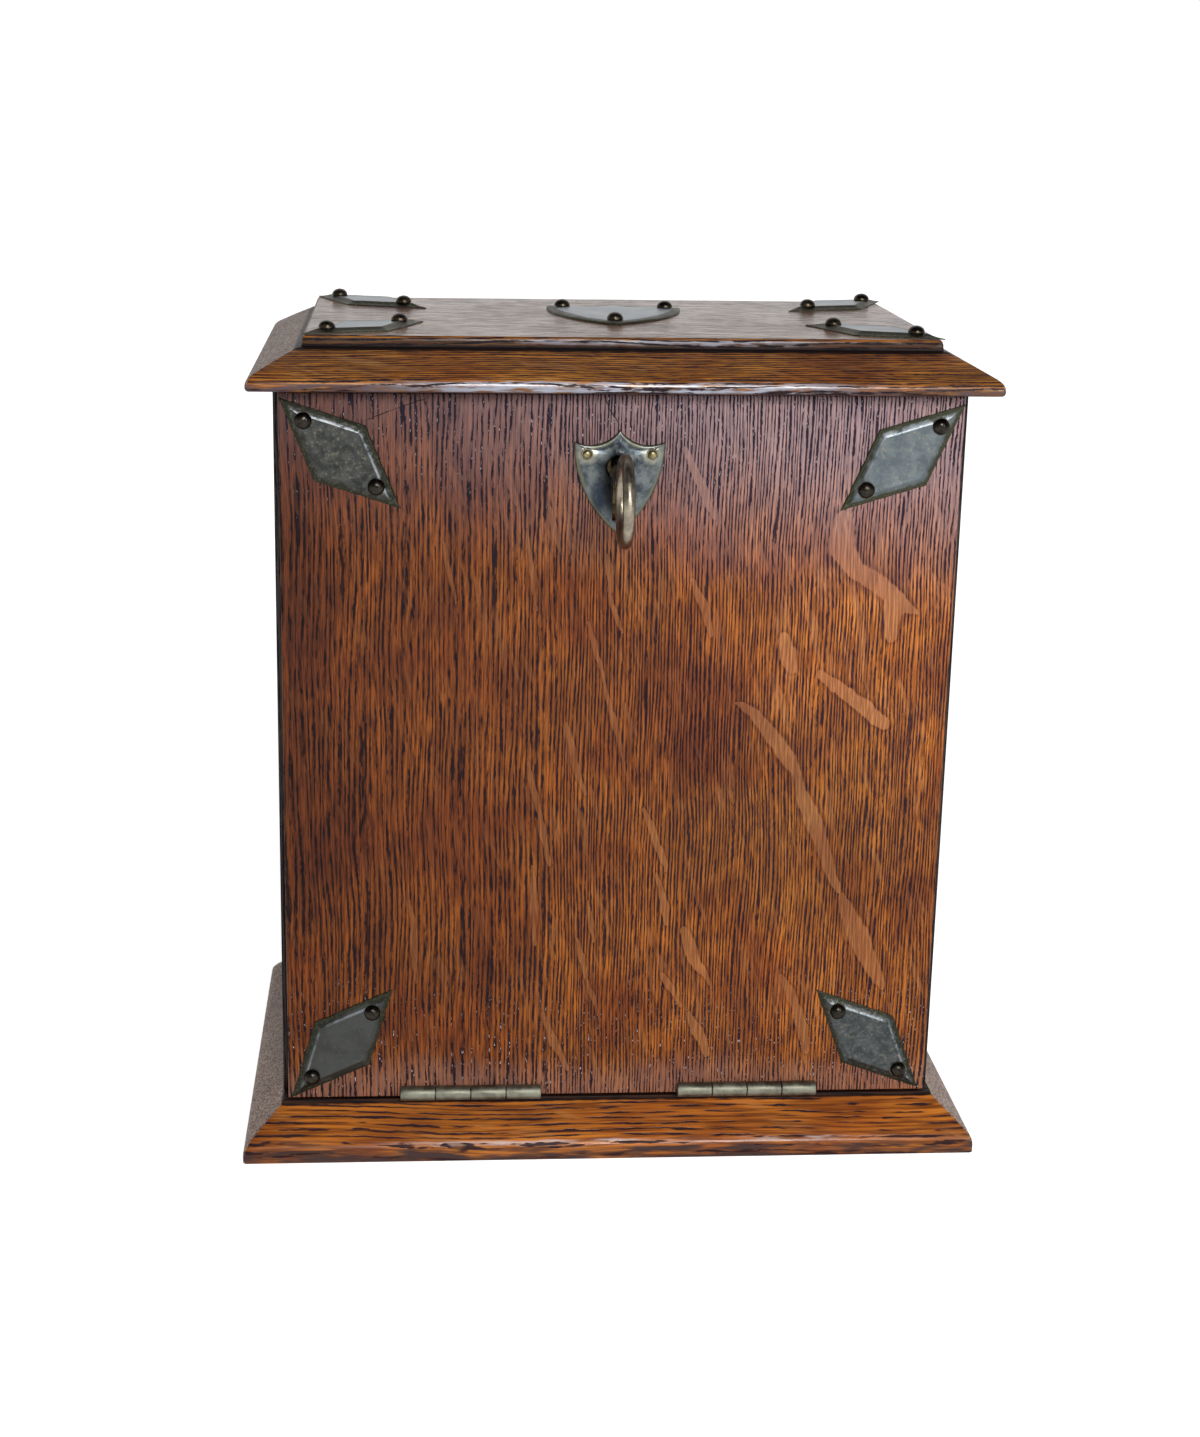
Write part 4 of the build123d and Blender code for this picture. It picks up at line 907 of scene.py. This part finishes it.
def soften(node, width, segments):
    """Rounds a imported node's edges."""
    weld = node.modifiers.new("weld", "WELD")
    weld.merge_threshold = WELD * MM
    bevel = node.modifiers.new("bevel", "BEVEL")
    bevel.width = width * MM
    bevel.segments = segments
    bevel.limit_method = "ANGLE"
    bevel.angle_limit = math.radians(30)
    bevel.use_clamp_overlap = False
    node.data.shade_smooth()


# ---- the studio ----

def stage_world():
    """A white wall behind the box, and a dim room that is darker overhead."""
    world = bpy.data.worlds.new("studio")
    bpy.context.scene.world = world
    world.use_nodes = True
    t = Tree(world.node_tree)
    _, toward_wall, up = t.parts(t.node("TexCoord").outputs["Generated"])
    camera, mirrored = t.background_share()
    seen = t.calc("MAXIMUM", camera, t.times(mirrored, t.ramp(toward_wall, 0.3, 0.7)))
    level = t.times(t.ramp(up, -0.1, 0.85, 0.5, 0.07), t.ramp(toward_wall, 0.3, 0.9, 1, 3.2))
    fill = t.node("Background", {0: WHITE, 1: level})
    white = t.node("Background", {0: WHITE, 1: 1})
    both = t.node("MixShader", {0: seen, 1: fill.outputs[0], 2: white.outputs[0]})
    t.node("OutputWorld", {"Surface": both.outputs[0]})


def stage_floor():
    """A floor that the camera sees as white, with the box's shadow on it."""
    mesh = bpy.data.meshes.new("floor")
    half = 6
    corners = [(-half, -half, 0), (half, -half, 0), (half, half, 0), (-half, half, 0)]
    mesh.from_pydata(corners, [], [(0, 1, 2, 3)])
    floor = add_object("floor", mesh)
    g = Graph("floor_paint")
    paint = g.node("BsdfDiffuse", {0: (0.8, 0.8, 0.8, 1)})
    away = g.node("VectorMath", {0: g.place}, operation="LENGTH").outputs["Value"]
    glow = g.node("Emission", {0: WHITE, 1: g.ramp(away, 250, 900, 0.84, 1)})
    both = g.node("AddShader", {0: paint.outputs[0], 1: glow.outputs[0]})
    share = g.calc("MAXIMUM", *g.background_share())
    seen = g.node("MixShader", {0: share, 1: paint.outputs[0], 2: both.outputs[0]})
    g.node("OutputMaterial", {"Surface": seen.outputs[0]})
    mesh.materials.append(g.material)


def softbox(name, middle, aim, width, height, watts):
    """A rectangular lamp in metres, turned to face the aim."""
    lamp = bpy.data.lights.new(name, "AREA")
    lamp.shape = "RECTANGLE"
    lamp.size, lamp.size_y = width, height
    lamp.energy = watts
    holder = add_object(name, lamp)
    holder.location = middle
    holder.rotation_euler = (Vector(aim) - Vector(middle)).to_track_quat("-Z", "Y").to_euler()


def photo_camera():
    """The camera found from the photo: its place, its turns and the picture's shift."""
    place = Vector((-69.568, -789.433, 385.952)) * MM
    yaw, pitch, roll = 0.067, 0.251, -0.017
    focal, middle_x, middle_y, wide, tall = 2183.491, 560, 610, 1200, 1437
    ahead = Vector((math.sin(yaw) * math.cos(pitch), math.cos(yaw) * math.cos(pitch), -math.sin(pitch)))
    level = Vector((math.cos(yaw), -math.sin(yaw), 0))
    below = ahead.cross(level)
    right = math.cos(roll) * level + math.sin(roll) * below
    down = -math.sin(roll) * level + math.cos(roll) * below
    data = bpy.data.cameras.new("camera")
    data.lens = focal / tall * data.sensor_width
    data.shift_x = (wide / 2 - middle_x) / tall
    data.shift_y = -(tall / 2 - middle_y) / tall
    camera = add_object("camera", data)
    turn = Matrix((right, -down, -ahead)).transposed()
    camera.matrix_world = Matrix.Translation(place) @ turn.to_4x4()
    bpy.context.scene.camera = camera


# ---- the box ----

def dress_packed_nodes():
    """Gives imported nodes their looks, and rounds the rack, the hinges and the lock."""
    for name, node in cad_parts.items():
        look = next((look for look, words in LOOKS if any(word in name for word in words.split())), steel)
        node.data.materials.clear()
        node.data.materials.append(look)
        if look is rack_oak:
            soften(node, 0.5, 3)
        elif "leaf" in name or name in ("lock_plate", "lock_cap", "lock_keep"):
            soften(node, 0.2, 2)


def make_boards():
    """Makes the lid, the base and the front over their packed boards."""
    for name, build, look, body, node in (
        ("board_lid", lid_skin, lid_oak, "lid", "lid_board"),
        ("board_base", base_skin, base_oak, "case", "base_board"),
        ("board_front", panel_skin, panel_oak, "fall_front", "front_panel"),
    ):
        board = Skin()
        build(board)
        board.make(name, look, body, "oak", node, sharp=32)


def make_plates(face, body, place_on, plates, looks, stud_look, plate_seed, stud_seed):
    """Makes a face's plates and studs, with rubbed rings round the front's right-hand studs."""
    studs, halos = Skin(), Skin()
    for index, (name, (u, v, turn)) in enumerate(plates.items()):
        plate = Skin()
        lozenge_plate(plate, place_on(u, v, turn), 10 * index + plate_seed)
        plate.make(f"plate_{face}_{name}", looks[name], body, "plate_pewter", f"{face}_plate_{name}")
        for side in (-1, 1):
            place = place_on(*turned((u, v), turn, side * STUD_REACH))
            dome(studs, place, STUD_FOOT, STUD, index * 3 + side + stud_seed)
            if name in ("top_right", "bottom_right"):
                halo(halos, place, STUD_HALO)
    studs.make(f"domes_{face}", stud_look, body, "stud_bronze", f"{face}_studs")
    if halos.points:
        halos.make(f"halos_{face}", halo_metal, body, "plate_pewter")


def make_lock_shield():
    """Makes the lock's shield, its two pins and the rings round them."""
    shield = Skin()
    escutcheon_skin(shield)
    shield.make("shield_front", shield_pewter, "fall_front", "plate_pewter", "escutcheon")
    pins, halos = Skin(), Skin()
    for side in (-1, 1):
        place = on_front(LOCK_X + side * PIN_REACH, PIN_Z)
        dome(pins, place, 1.5, PIN, side + 20)
        halo(halos, place, PIN_HALO)
    pins.make("domes_escutcheon", brass, "fall_front", "pin_brass", "escutcheon_pins")
    halos.make("halos_escutcheon", halo_metal, "fall_front", "plate_pewter")


def make_lid_shield():
    """Makes the lid's shield and its three studs."""
    shield, studs = Skin(), Skin()
    lid_shield_skin(shield)
    shield.make("shield_lid", lid_pewter, "lid", "plate_pewter", "lid_shield")
    *middle, turn = LID_SHIELD
    for index, (u, v) in enumerate(LID_SHIELD_STUDS):
        dome(studs, on_lid(*turned(middle, turn, u, v)), STUD_FOOT_ON_SHIELD, STUD, index + 70)
    studs.make("domes_shield", lit_lid_bronze, "lid", "stud_bronze", "lid_shield_studs")


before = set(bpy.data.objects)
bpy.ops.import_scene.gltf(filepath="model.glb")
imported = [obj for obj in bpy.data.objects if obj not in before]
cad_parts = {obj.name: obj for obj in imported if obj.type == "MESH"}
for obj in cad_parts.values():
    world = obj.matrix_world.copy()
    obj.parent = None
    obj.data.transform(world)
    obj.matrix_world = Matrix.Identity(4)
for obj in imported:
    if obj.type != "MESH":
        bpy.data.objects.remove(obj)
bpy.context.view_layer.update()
photo_camera()
stage_world()
stage_floor()
AIM = (0, -0.05, 0.15)
softbox("key_light", (0.16, -1.4, 0.89), AIM, 0.42, 0.36, 15)
softbox("second_light", (0.7, -1.2, 0.5), AIM, 0.3, 0.3, 3)
bpy.context.scene.view_settings.view_transform = "Standard"

panel_oak = oak("panel_oak", 2, panel=True, coat=0.12)
# the lid: its dark bands are painted shade in the cove behind the slope, on the upright step and under the
# front edge, with some dirt in the cove; its tinted bands paint shade low on the front edge and reflections
# along the edge and the step
lid_oak = oak("lid_oak", 0, coat=0.95, glow=(0.92, 1.15, 1.2), seed=13,
              shade_and_dirt=((288.5, 289.4, 0.95), (288.9, 291.6, 0.75), (275.8, 277.7, 0.5)), coarse=1.1,
              flat_dull=True,
              painted_bands=((276, 278.9, 0, 400, 1, (78, 58, 62)),
                      (276.8, 280.3, 0, 95, 0.75, (176, 182, 196)),
                      (290.2, 291.9, 12, 62, 0.6, (170, 172, 186))))
# the base: its dark bands are painted shade in the crease under the front and low on the upright edge, with
# some dirt in the crease; its tinted bands paint shade on the upright edge and a highlight along its upper
# arris
base_oak = oak("base_oak", 0, coat=0.4, glow=(1.08, 1.08, 0.93), seed=31, pores=-0.11,
               shade_and_dirt=((16.8, 18.6, 0.95), (0.3, 4.4, 0.15)), coarse=2.1, lines=0.15, run=8,
               painted_bands=((0, 4.9, 0, 500, 1, (60, 38, 34)),
                       (6.2, 7, 15, 115, 0.75, (212, 194, 188))))
# the case's sides: their front edges are painted dark as shade, since they lie in shadow behind the front
side_oak = oak("side_oak", 2, seed=57, dark_front=-57.6)
rack_oak = oak("rack_oak", 0, coat=0.1, glow=(1.2, 1.2, 1.2), seed=71)
PLATE_EDGE = (44, 45, 36)
pewter = {
    "top_left": metal("pewter_olive", (48, 50, 49), (70, 71, 69), 0.3, 3, PLATE_EDGE, ridge=2.6,
                      shaded=0.8),
    "top_right": metal("pewter_blue", (80, 88, 92), (98, 105, 108), 0.32, 5, (56, 56, 40),
                       ridge=2.6, speck=(138, 130, 104), shaded=0.6),
    "bottom_left": metal("pewter_smooth", (60, 61, 59), (70, 72, 71), 0.3, 9, PLATE_EDGE, ridge=2.6,
                         speck=(84, 82, 72)),
    "bottom_right": metal("pewter_grey", (60, 64, 64), (80, 84, 86), 0.3, 2.2, PLATE_EDGE, ridge=2.6),
}
shield_pewter = metal(
    "shield_pewter", (50, 57, 63), (98, 104, 106), 0.28, 5, (96, 97, 82), ridge=1.1,
    edge_reach=1.8, stains_and_shadow=(
        # painted shadow: dark round the keyhole, where the key and the pressed-in opening shade the shield
        ((LOCK_X - 1.4, 245), (5.6, 13), 0.9, (18, 20, 24)),
        ((LOCK_X - 7.5, 240), (2.4, 7), 0.6, (30, 38, 52)),
        ((LOCK_X - PIN_REACH, PIN_Z), (3.6, 3.4), 0.75, (140, 138, 122)),
        ((LOCK_X + PIN_REACH, PIN_Z), (3.6, 3.4), 0.75, (140, 138, 122)),
    ))
lid_pewter = metal("lid_pewter", (118, 123, 128), (146, 152, 158), 0.3, 9, (62, 58, 42),
                   edge_reach=4, crust=(112, 106, 84))
bronze = metal("bronze", (36, 34, 31), (54, 50, 45), 0.2, 3, speck=(76, 70, 60))
# a lighter bronze for the lid's studs: painted light on heads that face up
lit_lid_bronze = metal("lit_lid_bronze", (48, 43, 36), (76, 68, 56), 0.24, 3, speck=(96, 88, 72))
halo_metal = metal("halo_metal", (84, 84, 74), (132, 132, 118), 0.42, 2)
brass = metal("brass", (96, 86, 56), (150, 140, 104), 0.3)
nickel = metal("nickel", (104, 104, 92), (138, 138, 124), 0.42, 5)
steel = metal("steel", (66, 64, 62), (104, 102, 98), 0.36)
key_metal = metal("key_metal", (118, 111, 99), (160, 151, 134), 0.26, 5)
lock_brass = metal("lock_brass", (62, 54, 36), (104, 92, 62), 0.34, 6)
leather = metal("leather", (44, 30, 26), (58, 40, 32), 0.55, 3, metallic=0)

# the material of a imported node, by the first of these words in its name; the rest are steel
LOOKS = (
    (steel, "screws"), (nickel, "hinge"), (base_oak, "base_board"), (side_oak, "case_"),
    (lid_oak, "lid_board"), (panel_oak, "front_panel"), (rack_oak, "divider card_partition pen_rail"),
    (leather, "leather"), (lock_brass, "lock_plate lock_cap lock_keep hook_bolt"),
    (shield_pewter, "plate shield escutcheon"), (key_metal, "key"),
)
dress_packed_nodes()
make_boards()
make_plates("front", "fall_front", on_front, FRONT_PLATES, pewter, bronze, 1, 0)
make_plates("lid", "lid", on_lid, LID_PLATES, dict.fromkeys(LID_PLATES, lid_pewter), lit_lid_bronze, 51, 40)
make_lock_shield()
make_lid_shield()
